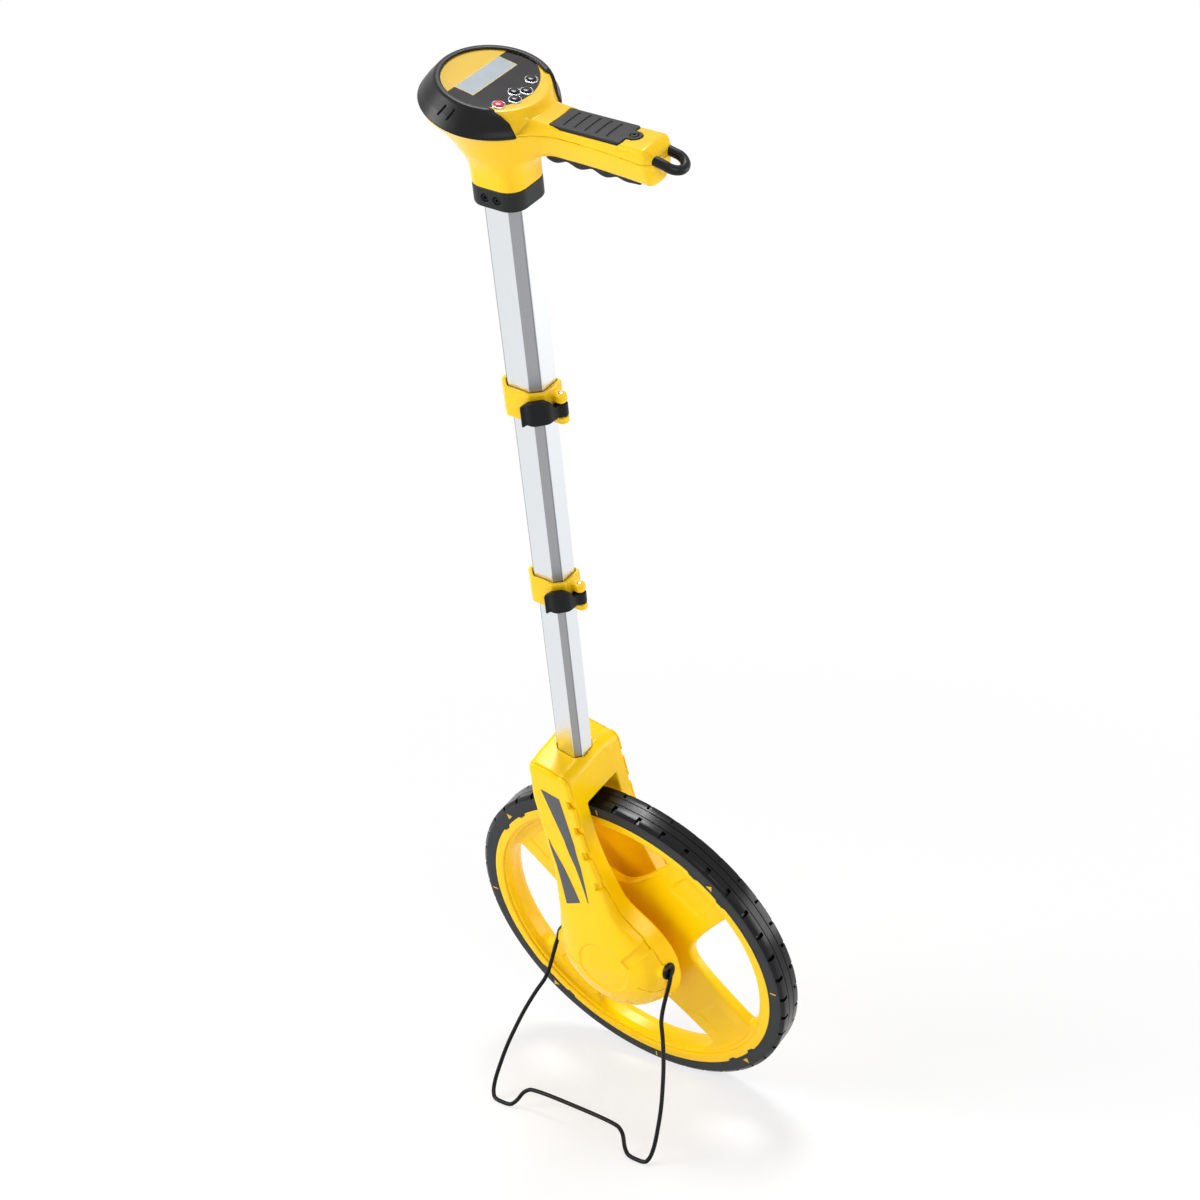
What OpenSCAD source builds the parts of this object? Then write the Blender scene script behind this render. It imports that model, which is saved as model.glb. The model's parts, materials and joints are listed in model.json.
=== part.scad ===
// Measuring wheel with a telescopic mast, standing on its side stand.
// The wheel's axle lies along Y, the handle points to +X and the stand is on the -Y side.
// The origin is the point of the tread that touches the ground.

/* [Wheel] */
// Rolling radius of the tread: a circumference of 1219 mm, four feet
tread_r = 194; // [170:1:240]
// Width of the tyre over its sidewalls
tyre_w = 31; // [27:0.5:36]
// Width of the tread between its bevelled edges
tread_w = 26; // [23:0.5:27]
// Radial depth of the bevel at each edge of the tread
tread_bevel = 4; // [2:0.5:6]
// Radial depth of the rubber
tyre_depth = 20; // [14:0.5:26]
// Number of slots along each edge of the tread
slot_count = 42; // [24:1:60]
// Width of a tread slot along the tread
slot_w = 3.2; // [2:0.1:5]
// Length of a tread slot across the tyre
slot_len = 7; // [4:0.5:8]
// Depth of a tread slot and of the two grooves
slot_d = 2.5; // [1:0.1:4]
// Width of each groove round the tread
groove_w = 1.6; // [1:0.1:2.4]
// Distance between the two grooves
groove_gap = 9; // [5:0.5:9]
// Radial depth of the rim under the tyre
rim_depth = 11; // [7:0.5:16]
// Width of a spoke blade
spoke_w = 74; // [60:1:120]
// Radius of the round inner corner of each window between the spokes
window_round = 54; // [20:1:70]
// Thickness of a spoke blade
spoke_t = 12; // [6:0.5:18]
// Depth of the shallow panel in each face of a spoke
spoke_panel = 1.5; // [0.5:0.1:2.5]
// How far the wheel has been turned
wheel_turn = -2.2; // [-40:0.1:40]

/* [Hub and axle] */
// Radius of the wheel's hub
hub_r = 34; // [30:0.5:40]
// Length of the wheel's hub
hub_len = 36; // [30:0.5:37]
// Radius of the axle
axle_r = 5; // [4:0.1:6]
// Wall of the bearing bushes
bush_wall = 6; // [4:0.1:7]
// Thickness of a bush's flange
flange_t = 2; // [1.2:0.1:2.4]
// Running clearance of the axle and of the lever pins, on the radius
run_fit = 0.05; // [0.02:0.01:0.1]
// Thickness of the encoder ring on the hub
encoder_t = 4; // [3:0.1:4.5]
// Number of magnets in the encoder ring
magnet_count = 8; // [4:1:12]
// Radius of a magnet
magnet_r = 2.5; // [1.5:0.1:3]

/* [Fork] */
// Gap between the fork's two arms
fork_gap = 50; // [48:0.5:60]
// Depth of an arm from its inner face to the seam of its cover
tray_depth = 17; // [14:0.5:24]
// Thickness of the cover along the arm
cover_t = 4; // [3.6:0.1:6]
// Wall thickness of the fork and its covers
fork_wall = 3; // [2:0.1:3.2]
// Front edge of the arm, ahead of the axle
arm_front = 47; // [42:0.5:54]
// Rear edge of the arm, behind the axle
arm_back = 9; // [4:0.5:16]
// Radius of the hub dome at the arm's inner face
dome_r = 75; // [70:0.5:80]
// How far the dome tapers in to the cover's seam
dome_draft = 8; // [7:0.5:10]
// Height of the dome above the cover's seam
dome_h = 24; // [18:0.5:30]
// Clearance between the tread and the fork's crown
crown_clear = 11; // [6:0.5:16]
// Height of the crown above the tread's clearance
crown_h = 56; // [40:0.5:64]

/* [Stand] */
// Radius of the stand's wire
wire_r = 2.25; // [1.6:0.05:3]
// Length of the stand from its pivot to the foot
leg_len = 195; // [180:1:220]
// Angle of the stand from straight down
stand_angle = 45.3; // [40:0.1:50]
// Distance of each leg outside the hub dome
leg_clear = 0.5; // [0.2:0.1:3]
// Distance of the outer corner of each foot from the middle
foot_x = 106; // [95:1:120]
// Distance of the stand's pivot from the wheel's middle plane
pivot_out = 40; // [38:0.1:41]
// Height of the stand's pivot above the axle
pivot_up = 3; // [0:0.1:6]

/* [Mast] */
// Angle of the mast back from square to the stand
mast_rake = 9.7; // [6:0.1:12]
// Distance of the mast's line ahead of the axle
mast_offset = 55.8; // [48:0.1:62]
// Width of the lowest tube fore and aft
tube_x = 32; // [28:0.1:34]
// Width of the lowest tube from side to side
tube_y = 29; // [26:0.1:31]
// Chamfer of the lowest tube's corners
tube_chamfer = 6.5; // [4:0.1:8]
// Wall of the tubes
tube_wall = 1.5; // [1:0.1:2]
// Sliding clearance between one tube and the next, on each side
tube_fit = 0.5; // [0.3:0.05:0.8]
// Height of the lower clamp along the mast
low_clamp_s = 451; // [440:1:470]
// Height of the upper clamp along the mast
up_clamp_s = 668; // [655:1:685]
// Height of a clamp collar
clamp_h = 31; // [28:0.5:36]
// Wall of a clamp collar
clamp_wall = 5; // [3.5:0.1:6]
// Radius of a clamp's lug
lug_r = 5.5; // [4.5:0.1:7]
// Radius of a clamp's pin
pin_r = 2; // [1.5:0.1:2.5]
// Thickness of a clamp lever
lever_t = 6; // [4:0.1:7]
// How far one tube reaches into the next
tube_lap = 60; // [50:1:66]

/* [Head] */
// Height of the black collar along the mast
collar_s = 879; // [870:1:885]
// Height of the black collar
collar_h = 18; // [14:0.5:20]
// Wall of the black collar round the upper tube
collar_wall = 6; // [5:0.1:7]
// Height of the display's centre along the mast
face_s = 982.5; // [978:0.5:990]
// How far the upper tube reaches into the neck
tube_in_neck = 34; // [20:1:45]
// Tilt of the display towards the handle
face_tilt = 10.5; // [6:0.5:14]
// Radius of the display's face
face_r = 42; // [40:0.5:46]
// Depth of the pod and its bumper under the face
pod_depth = 19; // [17:0.5:22]
// Radius of the bumper at its lower edge
bumper_r = 60; // [57:0.5:64]
// Angle that the bumper leaves open at the handle
bumper_open = 96; // [80:1:120]
// Wall thickness of the head's shells
shell_wall = 2.5; // [1.8:0.1:3]
// Height of the window over the display
lcd_x = 18; // [14:0.5:20]
// Width of the window over the display
lcd_y = 58; // [48:0.5:60]
// Radius of a button
button_r = 4.3; // [3.5:0.1:4.6]
// Travel of a button
button_travel = 1.2; // [0.6:0.1:1.6]

/* [Handle] */
// Reach of the handle from the mast's line
handle_end = 155; // [150:1:170]
// Width of the handle
handle_w = 35; // [34.5:0.5:40]
// Height of the handle's top along the mast
handle_top = 965; // [962:0.5:968]
// Height of the handle's widest line along the mast
handle_mid = 956; // [954:0.5:958]
// Height of the handle's underside along the mast
handle_low = 932; // [926:0.5:934]
// Length of the battery cover
cover_len = 66; // [60:0.5:70]
// Radius of a battery cell
cell_r = 7.1; // [5:0.05:7.2]
// Length of a battery cell
cell_len = 50; // [42:0.5:50.5]
// Radius of the hang loop's bar
loop_r = 3; // [2:0.1:4]
// Inner width of the hang loop
loop_gap = 12; // [10:0.5:14]

/* [Hidden] */
$fn = 96;
eps = 0.01;
fit = 0.1;
gap = 0.3;
yellow = "#f5c400";
black = "#232426";
silver = "#d9dcde";
steel = "#9a9da0";

// Wheel
tyre_in_r = tread_r - tyre_depth;
rim_in_r = tyre_in_r - rim_depth;
window_apex = spoke_w / 2 * sqrt(2);
bush_r = axle_r + bush_wall;
bush_len = 14;
bush_flange = 3;
groove_at = groove_gap / 2;

// Fork
arm_in = fork_gap / 2;
seam = arm_in + tray_depth;
crown_low = tread_r + crown_clear;
crown_top = crown_low + crown_h;
crown_drop = 13;
shoulder = crown_top - crown_drop;
dome_seam_r = dome_r - dome_draft;
nut_h = 6;
nut_r = 9;
axle_half = arm_in + fork_wall + nut_h + 3;

// The ground touches the edge of the tread and the stand's feet
foot_out = pivot_out + leg_len * sin(stand_angle);
foot_up = pivot_up - leg_len * cos(stand_angle);
reach_y = foot_out - tread_w / 2;
reach_z = foot_up + tread_r;
lean = atan2(reach_z, reach_y) - asin(wire_r / norm([reach_y, reach_z]));
contact_y = tread_r * sin(lean) - tread_w / 2 * cos(lean);
contact_z = tread_r * cos(lean) + tread_w / 2 * sin(lean);

// Stand bushings, and the pins that end just outside the cover's dome
leg_x = dome_r + leg_clear;
bushing_r = wire_r + fit + 2.4;
boss_r = bushing_r + 2;
boss_len = 9;
bushing_flange = 1.2;
boss_face = leg_x - wire_r - bushing_flange - gap;
pin_end = dome_seam_r + gap;
bushing_len = boss_face - pin_end;

// Mast: sizes of the tubes from the lowest (0) to the highest (2)
tube_step = 2 * (tube_wall + tube_fit);
function tube_size(i) = [tube_x + i * tube_step, tube_y + i * tube_step];
function tube_cut(i) = tube_chamfer + i * tube_step * (1 - sqrt(0.5));
socket_up = 14;
socket_floor = (crown_low + socket_up - mast_offset * sin(mast_rake)) / cos(mast_rake);
grip_h = 18;
low_end = low_clamp_s + grip_h;
up_end = up_clamp_s + grip_h;
low_tube_top = low_end + tube_lap;
mid_tube_top = up_end + tube_lap;
guide_h = 8;
plug_h = 15;
up_tube_top = collar_s + collar_h + tube_in_neck;
lug_h = 7;
lever_clear = 0.6;

// Head
pod_r = face_r + 3.5;
bumper_lip = 1.5;
bumper_step = 2;
neck_r = norm(tube_size(2)) / 2 + 1.5;
panel_t = 1.5;
board_down = 13;
board_t = 1.6;
part_u = ((face_s - pod_depth / cos(face_tilt)) - handle_mid) / tan(face_tilt);
handle_start = 30;
cell_u = 94;
// The cells lie in the trough of the handle's sloping inner walls
trough = [
    [handle_w / 2 - shell_wall - 7, handle_low + shell_wall],
    [handle_w / 2 - shell_wall - 1, handle_mid - 10]];
trough_run = (trough[1] - trough[0]) / norm(trough[1] - trough[0]);
cell_y = cell_r + fit;
cell_s = trough[0][1] + (cell_y + (cell_y - trough[0][0]) * trough_run[1]) / trough_run[0];
cover_mid_u = 94;
cover_half_w = 13.5;
cover_lid_t = 2;
grip_start = 50;
grip_end = 140;
grip_t = 2;
buttons = [[25.5, -26.5], [30.5, -12.5], [30.5, 3], [24, 18.5], [19.5, -3.5]];

// Frames: the leaning machine with the axle at its centre, the mast's line and the tilted face
module machine() {
    translate([0, -contact_y, contact_z]) rotate([lean, 0, 0]) children();
}
module turned() {
    machine() rotate([90, 0, 0]) children();
}
module mast() {
    machine() rotate([0, mast_rake, 0]) translate([-mast_offset, 0, 0]) children();
}
module face() {
    mast() translate([0, 0, face_s]) rotate([0, face_tilt, 0]) children();
}
module both_sides() {
    children();
    mirror([0, 0, 1]) children();
}

// Wheel

function half_tread() = [
    [tyre_in_r, tyre_w / 2],
    [tread_r - tread_bevel, tyre_w / 2],
    [tread_r, tread_w / 2],
    [tread_r, groove_at + groove_w],
    [tread_r - slot_d, groove_at + groove_w],
    [tread_r - slot_d, groove_at],
    [tread_r, groove_at]];

module tyre() {
    top = half_tread();
    low = [for (i = [len(top) - 1:-1:0]) [top[i][0], -top[i][1]]];
    color("#303234") turned() difference() {
        rotate_extrude() polygon(concat(top, low));
        for (i = [0:slot_count - 1])
            rotate(wheel_turn + 45 + (i + 0.5) * 360 / slot_count)
                both_sides()
                    translate([tread_r - slot_d, -slot_w / 2, tyre_w / 2 - slot_len])
                        cube([slot_d + 1, slot_w, slot_len + 1]);
    }
}

module spoke_window() {
    arc_at = window_apex + window_round * sqrt(2);
    intersection() {
        circle(rim_in_r);
        polygon(concat(
            [[window_apex + tread_r, -tread_r], [window_apex + tread_r, tread_r]],
            [for (a = [135:5:225]) [arc_at + window_round * cos(a), window_round * sin(a)]]));
    }
}

rim_lip = 3;
panel_inset = 12;
panel_len = 50;
panel_start = rim_in_r - panel_inset - panel_len;

module wheel() {
    color(yellow) turned() rotate(wheel_turn) difference() {
        union() {
            rotate_extrude() polygon([
                [rim_in_r, -tyre_w / 2],
                [tyre_in_r, -tyre_w / 2],
                [tyre_in_r, tyre_w / 2],
                [rim_in_r, tyre_w / 2]]);
            linear_extrude(spoke_t, center = true) difference() {
                circle(rim_in_r + 1);
                for (i = [0:3]) rotate(90 * i) spoke_window();
            }
            cylinder(hub_len, r = hub_r, center = true);
        }
        cylinder(hub_len + 2, r = bush_r, center = true);
        both_sides() {
            translate([0, 0, tyre_w / 2 - spoke_panel]) rotate_extrude()
                translate([rim_in_r + rim_lip, 0]) square([rim_depth - 2 * rim_lip, spoke_panel + 1]);
            for (i = [0:3])
                rotate(45 + 90 * i)
                    translate([panel_start, -spoke_w / 2 + panel_inset, spoke_t / 2 - spoke_panel])
                        cube([panel_len, spoke_w - 2 * panel_inset, spoke_panel + 1]);
        }
    }
}

module wheel_bushes() {
    color("#e6e2d6") turned() both_sides() difference() {
        union() {
            translate([0, 0, hub_len / 2 - bush_len]) cylinder(bush_len, r = bush_r);
            translate([0, 0, hub_len / 2]) cylinder(flange_t, r = bush_r + bush_flange);
        }
        cylinder(hub_len, r = axle_r + run_fit);
    }
}

encoder_in_r = bush_r + bush_flange + 2;
magnet_at = (encoder_in_r + hub_r) / 2;
magnet_t = 2;

module at_magnets() {
    for (i = [0:magnet_count - 1])
        rotate(i * 360 / magnet_count)
            translate([magnet_at, 0, hub_len / 2 + encoder_t - magnet_t]) children();
}

module encoder_ring() {
    color("#4a4d50") turned() difference() {
        translate([0, 0, hub_len / 2]) cylinder(encoder_t, r = hub_r);
        cylinder(hub_len, r = encoder_in_r);
        at_magnets() cylinder(magnet_t + 1, r = magnet_r + fit);
    }
}

module encoder_magnets() {
    color(steel) turned() at_magnets() cylinder(magnet_t, r = magnet_r);
}

// Axle

module axle() {
    color(steel) turned() cylinder(2 * axle_half, r = axle_r, center = true);
}

module axle_spacers() {
    inner = hub_len / 2 + flange_t + gap;
    color(silver) turned() both_sides() translate([0, 0, inner]) difference() {
        cylinder(arm_in - inner, r = axle_r + 4);
        translate([0, 0, -1]) cylinder(arm_in, r = axle_r + eps);
    }
}

module axle_nuts() {
    color(steel) turned() both_sides() translate([0, 0, arm_in + fork_wall]) difference() {
        cylinder(nut_h, r = nut_r, $fn = 6);
        translate([0, 0, -1]) cylinder(nut_h + 2, r = axle_r + eps);
    }
}

// Fork

function arm_points(inset) = [
    [-arm_front + inset, shoulder - inset],
    [arm_back - inset, shoulder - inset],
    [arm_back - inset, 2 * dome_r],
    [arm_back + 4 - inset, 1.45 * dome_r],
    [arm_back + 12 - inset, 1.12 * dome_r],
    [0.48 * dome_r - inset, 0.8 * dome_r - inset],
    [0.7 * dome_r - inset, 0.5 * dome_r - inset],
    [0, 0],
    [-0.8 * dome_r + inset, 0.3 * dome_r - inset],
    [-arm_front - 7 + inset, 0.75 * dome_r],
    [-arm_front - 2 + inset, 1.2 * dome_r],
    [-arm_front + inset, 1.8 * dome_r]];

// The hollow inner half of an arm, open towards its cover
module arm_tray() {
    difference() {
        union() {
            linear_extrude(tray_depth) polygon(arm_points(0));
            cylinder(tray_depth, r1 = dome_r, r2 = dome_seam_r);
        }
        translate([0, 0, fork_wall]) {
            linear_extrude(tray_depth) intersection() {
                polygon(arm_points(fork_wall));
                translate([-2 * dome_r, -dome_r]) square([4 * dome_r, crown_low - fork_wall + dome_r]);
            }
            cylinder(tray_depth, r1 = dome_r - fork_wall, r2 = dome_seam_r - fork_wall);
        }
    }
    cylinder(fork_wall, r = nut_r + 4);
}

module crown() {
    depth = arm_front + arm_back;
    ridge = tube_size(0)[1] / 2 + 3;
    hollow_h = crown_h - crown_drop - 3 * fork_wall;
    difference() {
        translate([-arm_front, 0, 0]) rotate([90, 0, 90]) linear_extrude(depth) polygon([
            [-seam, crown_low - 1],
            [seam, crown_low - 1],
            [seam, shoulder],
            [ridge, crown_top],
            [-ridge, crown_top],
            [-seam, shoulder]]);
        // Hollows beside the tube's socket
        for (side = [-1, 1])
            translate([-arm_front + fork_wall, side * (ridge + seam) / 2, crown_low])
                translate([0, -(seam - ridge) / 2 + fork_wall, fork_wall])
                    cube([depth - 2 * fork_wall, seam - ridge - 2 * fork_wall, hollow_h]);
    }
}

module stand_boss() {
    translate([boss_face, -pivot_out, pivot_up]) rotate([0, -90, 0]) cylinder(boss_len, r = boss_r);
}

module fork_frame() {
    color(yellow) difference() {
        union() {
            machine() crown();
            turned() both_sides() translate([0, 0, arm_in]) arm_tray();
            machine() {
                stand_boss();
                mirror([1, 0, 0]) stand_boss();
            }
        }
        turned() cylinder(4 * arm_in, r = axle_r + eps, center = true);
        // Socket of the lowest tube and the hole of its bolt
        mast() translate([0, 0, socket_floor])
            linear_extrude(crown_h) tube_outline(tube_size(0) + [2 * fit, 2 * fit], tube_cut(0));
        mast() translate([0, 0, socket_floor - crown_h]) {
            cylinder(2 * crown_h, r = bolt_r + fit);
            cylinder(crown_h - bolt_floor, r = bolt_head_r + gap);
        }
        // Bores of the stand's bushings
        machine() translate([0, -pivot_out, pivot_up]) rotate([0, 90, 0])
            cylinder(4 * leg_x, r = bushing_r + eps, center = true);
        // Room for the covers' dome above the seam
        turned() translate([0, 0, seam]) cylinder(dome_h, r = dome_seam_r + gap);
    }
}

// The outside of a cover, or its hollow when inset by the wall
module cover_solid(inset) {
    top = dome_h - inset;
    linear_extrude(cover_t - inset) polygon(arm_points(inset));
    rotate_extrude() polygon([
        [0, 0],
        [dome_seam_r - inset, 0],
        [dome_seam_r - 3 - inset, 0.35 * top],
        [dome_seam_r - 11 - inset, 0.67 * top],
        [dome_seam_r - 22 - inset, 0.88 * top],
        [dome_seam_r - 35 - inset, top - 1],
        [dome_seam_r - 37 - inset, top],
        [0, top]]);
    hull() {
        translate([-arm_front + 5 + inset, 1.7 * dome_r, 0])
            cube([arm_front + arm_back - 10 - 2 * inset, 1, cover_t - inset]);
        cylinder(0.88 * top, r = dome_seam_r - 22 - inset, $fn = 32);
    }
}

module arm_cover() {
    color(yellow) difference() {
        cover_solid(0);
        translate([0, 0, -eps]) cover_solid(fork_wall);
        // Windows of the cover's catches along its rear edge
        for (i = [0:3])
            translate([arm_back - 2.5 + (i == 3 ? 4 : 0), shoulder - 36 - 37 * i, -1]) cube([8, 7, 3.2]);
    }
}

module near_arm_cover() {
    turned() translate([0, 0, seam]) arm_cover();
}

module far_arm_cover() {
    turned() mirror([0, 0, 1]) translate([0, 0, seam]) arm_cover();
}

module sensor_board() {
    color("#2c6e49") turned() translate([-9, magnet_at - 6, arm_in + fork_wall]) {
        cube([18, 26, board_t]);
        translate([6, 2, board_t]) cube([6, 6, 2.5]);
        translate([4, 15, board_t]) cube([10, 8, 6]);
    }
}

// Stand

module stand_bushings() {
    color(black) machine() for (side = [0, 1]) mirror([side, 0, 0])
        translate([boss_face, -pivot_out, pivot_up]) rotate([0, -90, 0]) difference() {
            union() {
                cylinder(bushing_len, r = bushing_r);
                translate([0, 0, -bushing_flange]) cylinder(bushing_flange, r = boss_r);
            }
            translate([0, 0, -2]) cylinder(bushing_len + 4, r = wire_r + run_fit);
        }
}

// Half of the wire's route in the stand's own plane, from the pivot to the middle of the crossbar
stand_half = [
    [leg_x, 0],
    [leg_x, 0.25 * leg_len],
    [leg_x + 0.33 * (foot_x - leg_x), 0.36 * leg_len],
    [leg_x + 0.64 * (foot_x - leg_x), 0.5 * leg_len],
    [leg_x + 0.94 * (foot_x - leg_x), 0.7 * leg_len],
    [foot_x + 1.5, 0.88 * leg_len],
    [foot_x + 0.5, 0.955 * leg_len],
    [foot_x - 4, leg_len],
    [foot_x - 26, leg_len],
    [foot_x - 33, 0.965 * leg_len],
    [foot_x - 39, 0.9 * leg_len],
    [foot_x - 50, 0.865 * leg_len]];

// Each corner of the route as a short curve of points
function rounded(p, steps, share) = [
    for (i = [0:len(p) - 1])
        for (j = [0:(i == 0 || i == len(p) - 1 ? 0 : steps)])
            i == 0 || i == len(p) - 1 ? p[i] :
                let (a = p[i] + (p[i - 1] - p[i]) * share,
                     b = p[i] + (p[i + 1] - p[i]) * share,
                     t = j / steps)
                (1 - t) * (1 - t) * a + 2 * t * (1 - t) * p[i] + t * t * b];

// A round bar along a flat route: rings square to the route, joined by triangles
module bar(route, r, sides) {
    count = len(route);
    function along(i) =
        let (d = route[min(i + 1, count - 1)] - route[max(i - 1, 0)]) d / norm(d);
    points = [for (i = [0:count - 1], k = [0:sides - 1])
        let (d = along(i), a = 360 * k / sides)
        [route[i][0] - d[1] * r * cos(a), route[i][1] + d[0] * r * cos(a), r * sin(a)]];
    walls = [for (i = [0:count - 2], k = [0:sides - 1], half = [0, 1])
        let (a = i * sides + k, b = i * sides + (k + 1) % sides)
        half == 0 ? [a, b + sides, b] : [a, a + sides, b + sides]];
    ends = [
        [for (k = [0:sides - 1]) k],
        [for (k = [sides - 1:-1:0]) (count - 1) * sides + k]];
    polyhedron(points, concat(walls, ends));
}

module stand() {
    half = stand_half;
    other = [for (i = [len(half) - 1:-1:0]) [-half[i][0], half[i][1]]];
    route = rounded(concat(half, other), 3, 0.35);
    color(black) machine() translate([0, -pivot_out, pivot_up]) {
        rotate([-90 - stand_angle, 0, 0]) bar(route, wire_r, 12);
        for (side = [0, 1])
            mirror([side, 0, 0]) translate([pin_end, 0, 0]) rotate([0, 90, 0])
                cylinder(leg_x - pin_end, r = wire_r);
    }
}

// Mast

module tube_outline(size, cut) {
    a = size[0] / 2;
    b = size[1] / 2;
    polygon([
        [a, b - cut], [a - cut, b], [cut - a, b], [-a, b - cut],
        [-a, cut - b], [cut - a, -b], [a - cut, -b], [a, cut - b]]);
}

module tube(i, low, top) {
    size = tube_size(i);
    inner = size - [2 * tube_wall, 2 * tube_wall];
    color(silver) mast() translate([0, 0, low]) linear_extrude(top - low) difference() {
        tube_outline(size, tube_cut(i));
        tube_outline(inner, tube_cut(i) - tube_wall * (2 - sqrt(2)));
    }
}

module lower_tube() {
    tube(0, socket_floor, low_tube_top);
}

module middle_tube() {
    tube(1, low_end, mid_tube_top);
}

module upper_tube() {
    tube(2, up_end, up_tube_top);
}

bolt_r = 3;
bolt_head_r = 5;
bolt_head_h = 4;
bolt_floor = 6;
bolt_plug_h = 24;

function inner_size(i) = tube_size(i) - [2 * (tube_wall + fit), 2 * (tube_wall + fit)];
function inner_cut(i) = tube_cut(i) - tube_wall * (2 - sqrt(2));

module tube_plug() {
    color(black) mast() translate([0, 0, socket_floor]) difference() {
        linear_extrude(bolt_plug_h) tube_outline(inner_size(0), inner_cut(0));
        translate([0, 0, -1]) cylinder(bolt_plug_h + 2, r = bolt_r + eps);
    }
}

module crown_bolt() {
    color(steel) mast() translate([0, 0, socket_floor - bolt_floor]) {
        cylinder(bolt_floor + bolt_plug_h - 2, r = bolt_r);
        translate([0, 0, -bolt_head_h]) cylinder(bolt_head_h, r = bolt_head_r);
    }
}

// A plastic guide on top of a tube that slides inside the next one
module tube_guide(i, top) {
    flange = inner_size(i + 1);
    color(black) mast() translate([0, 0, top]) difference() {
        union() {
            linear_extrude(guide_h) tube_outline(flange - [2 * fit, 2 * fit], inner_cut(i + 1));
            translate([0, 0, -plug_h]) linear_extrude(plug_h) tube_outline(inner_size(i), inner_cut(i));
        }
        translate([0, 0, -plug_h - 1]) cylinder(plug_h + guide_h + 2, r = tube_y / 2 - tube_wall - 5);
    }
}

module lower_tube_guide() {
    tube_guide(0, low_tube_top);
}

module middle_tube_guide() {
    tube_guide(1, mid_tube_top);
}

// Clamp collars grip the tube below and hold the end of the tube above
function collar_half(i) = tube_size(i + 1) / 2 + [clamp_wall, clamp_wall];
function collar_cut(i) = tube_cut(i + 1) + 2;
function pin_u(i) = collar_half(i)[0] + lug_r + 0.8;

module clamp_collar(i, s) {
    half = collar_half(i);
    color(yellow) mast() translate([0, 0, s]) difference() {
        union() {
            linear_extrude(clamp_h) tube_outline(2 * half, collar_cut(i));
            for (z = [0, clamp_h - lug_h])
                translate([0, 0, z]) {
                    translate([pin_u(i), 0, 0]) cylinder(lug_h, r = lug_r);
                    translate([half[0] - 1, -lug_r, 0]) cube([lug_r + 2, 2 * lug_r, lug_h]);
                }
        }
        translate([0, 0, -1]) linear_extrude(grip_h + 2)
            tube_outline(tube_size(i) + [2 * gap, 2 * gap], tube_cut(i));
        translate([0, 0, grip_h]) linear_extrude(clamp_h)
            tube_outline(tube_size(i + 1) + [2 * eps, 2 * eps], tube_cut(i + 1));
        translate([pin_u(i), 0, -1]) cylinder(clamp_h + 2, r = pin_r + eps);
    }
}

module lower_clamp() {
    clamp_collar(0, low_clamp_s);
}

module upper_clamp() {
    clamp_collar(1, up_clamp_s);
}

module lever_pin(i, s) {
    color(steel) mast() translate([pin_u(i), 0, s]) cylinder(clamp_h, r = pin_r);
}

module lower_lever_pin() {
    lever_pin(0, low_clamp_s);
}

module upper_lever_pin() {
    lever_pin(1, up_clamp_s);
}

// A lever turns on its pin and wraps round the near rear corner of the collar
module clamp_lever(i, s) {
    half = collar_half(i) + [lever_clear, lever_clear];
    cut = collar_cut(i);
    out = half + [lever_t, lever_t];
    tip_u = 0.32 * half[0];
    waist = clamp_h - 2 * (lug_h + gap);
    tall = clamp_h - lug_h;
    color(black) mast() translate([0, 0, s + lug_h + gap]) difference() {
        union() {
            translate([pin_u(i), 0, 0]) cylinder(waist, r = lug_r);
            linear_extrude(waist) polygon([
                [half[0], -lug_r],
                [half[0], cut - half[1]],
                [half[0] - cut, -half[1]],
                [tip_u, -half[1]],
                [tip_u, -out[1]],
                [out[0] - cut, -out[1]],
                [out[0], cut - out[1]],
                [pin_u(i) + lug_r, 0],
                [pin_u(i), 0]]);
            translate([0, 0, waist - tall + lug_h / 2]) linear_extrude(tall) polygon([
                [half[0] - cut, -half[1]],
                [tip_u, -half[1]],
                [tip_u, -out[1]],
                [out[0] - cut, -out[1]]]);
        }
        translate([pin_u(i), 0, -1]) cylinder(waist + 2, r = pin_r + run_fit);
    }
}

module lower_lever() {
    clamp_lever(0, low_clamp_s);
}

module upper_lever() {
    clamp_lever(1, up_clamp_s);
}

// Head

module rounded_block(size, r) {
    square([size[0], size[1] - 2 * r], center = true);
    square([size[0] - 2 * r, size[1]], center = true);
    for (x = [-1, 1], y = [-1, 1])
        translate([x * (size[0] / 2 - r), y * (size[1] / 2 - r)]) circle(r);
}

collar_size = tube_size(2) + [2 * collar_wall, 2 * collar_wall];

module head_collar() {
    color(black) mast() translate([0, 0, collar_s]) difference() {
        linear_extrude(collar_h) rounded_block(collar_size, 16);
        translate([0, 0, -1]) linear_extrude(collar_h + 2)
            tube_outline(tube_size(2) + [2 * eps, 2 * eps], tube_cut(2));
        at_collar_screws() cylinder(collar_wall + 5, r = screw_r + eps);
        at_collar_screws() translate([0, 0, collar_wall - 2]) cylinder(5, r = screw_head_r + fit);
    }
}

screw_r = 1.6;
screw_head_r = 3;
screw_head_h = 1.8;

// Screw places on the collar's near side, pointing outwards
module at_collar_screws() {
    for (u = [-6, 6])
        translate([u, -tube_size(2)[1] / 2, collar_h / 2]) rotate([90, 0, 0]) children();
}

module collar_screws() {
    color(steel) mast() translate([0, 0, collar_s]) at_collar_screws() {
        cylinder(collar_wall - 1, r = screw_r);
        translate([0, 0, collar_wall - 2]) cylinder(screw_head_h, r = screw_head_r);
    }
}

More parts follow.
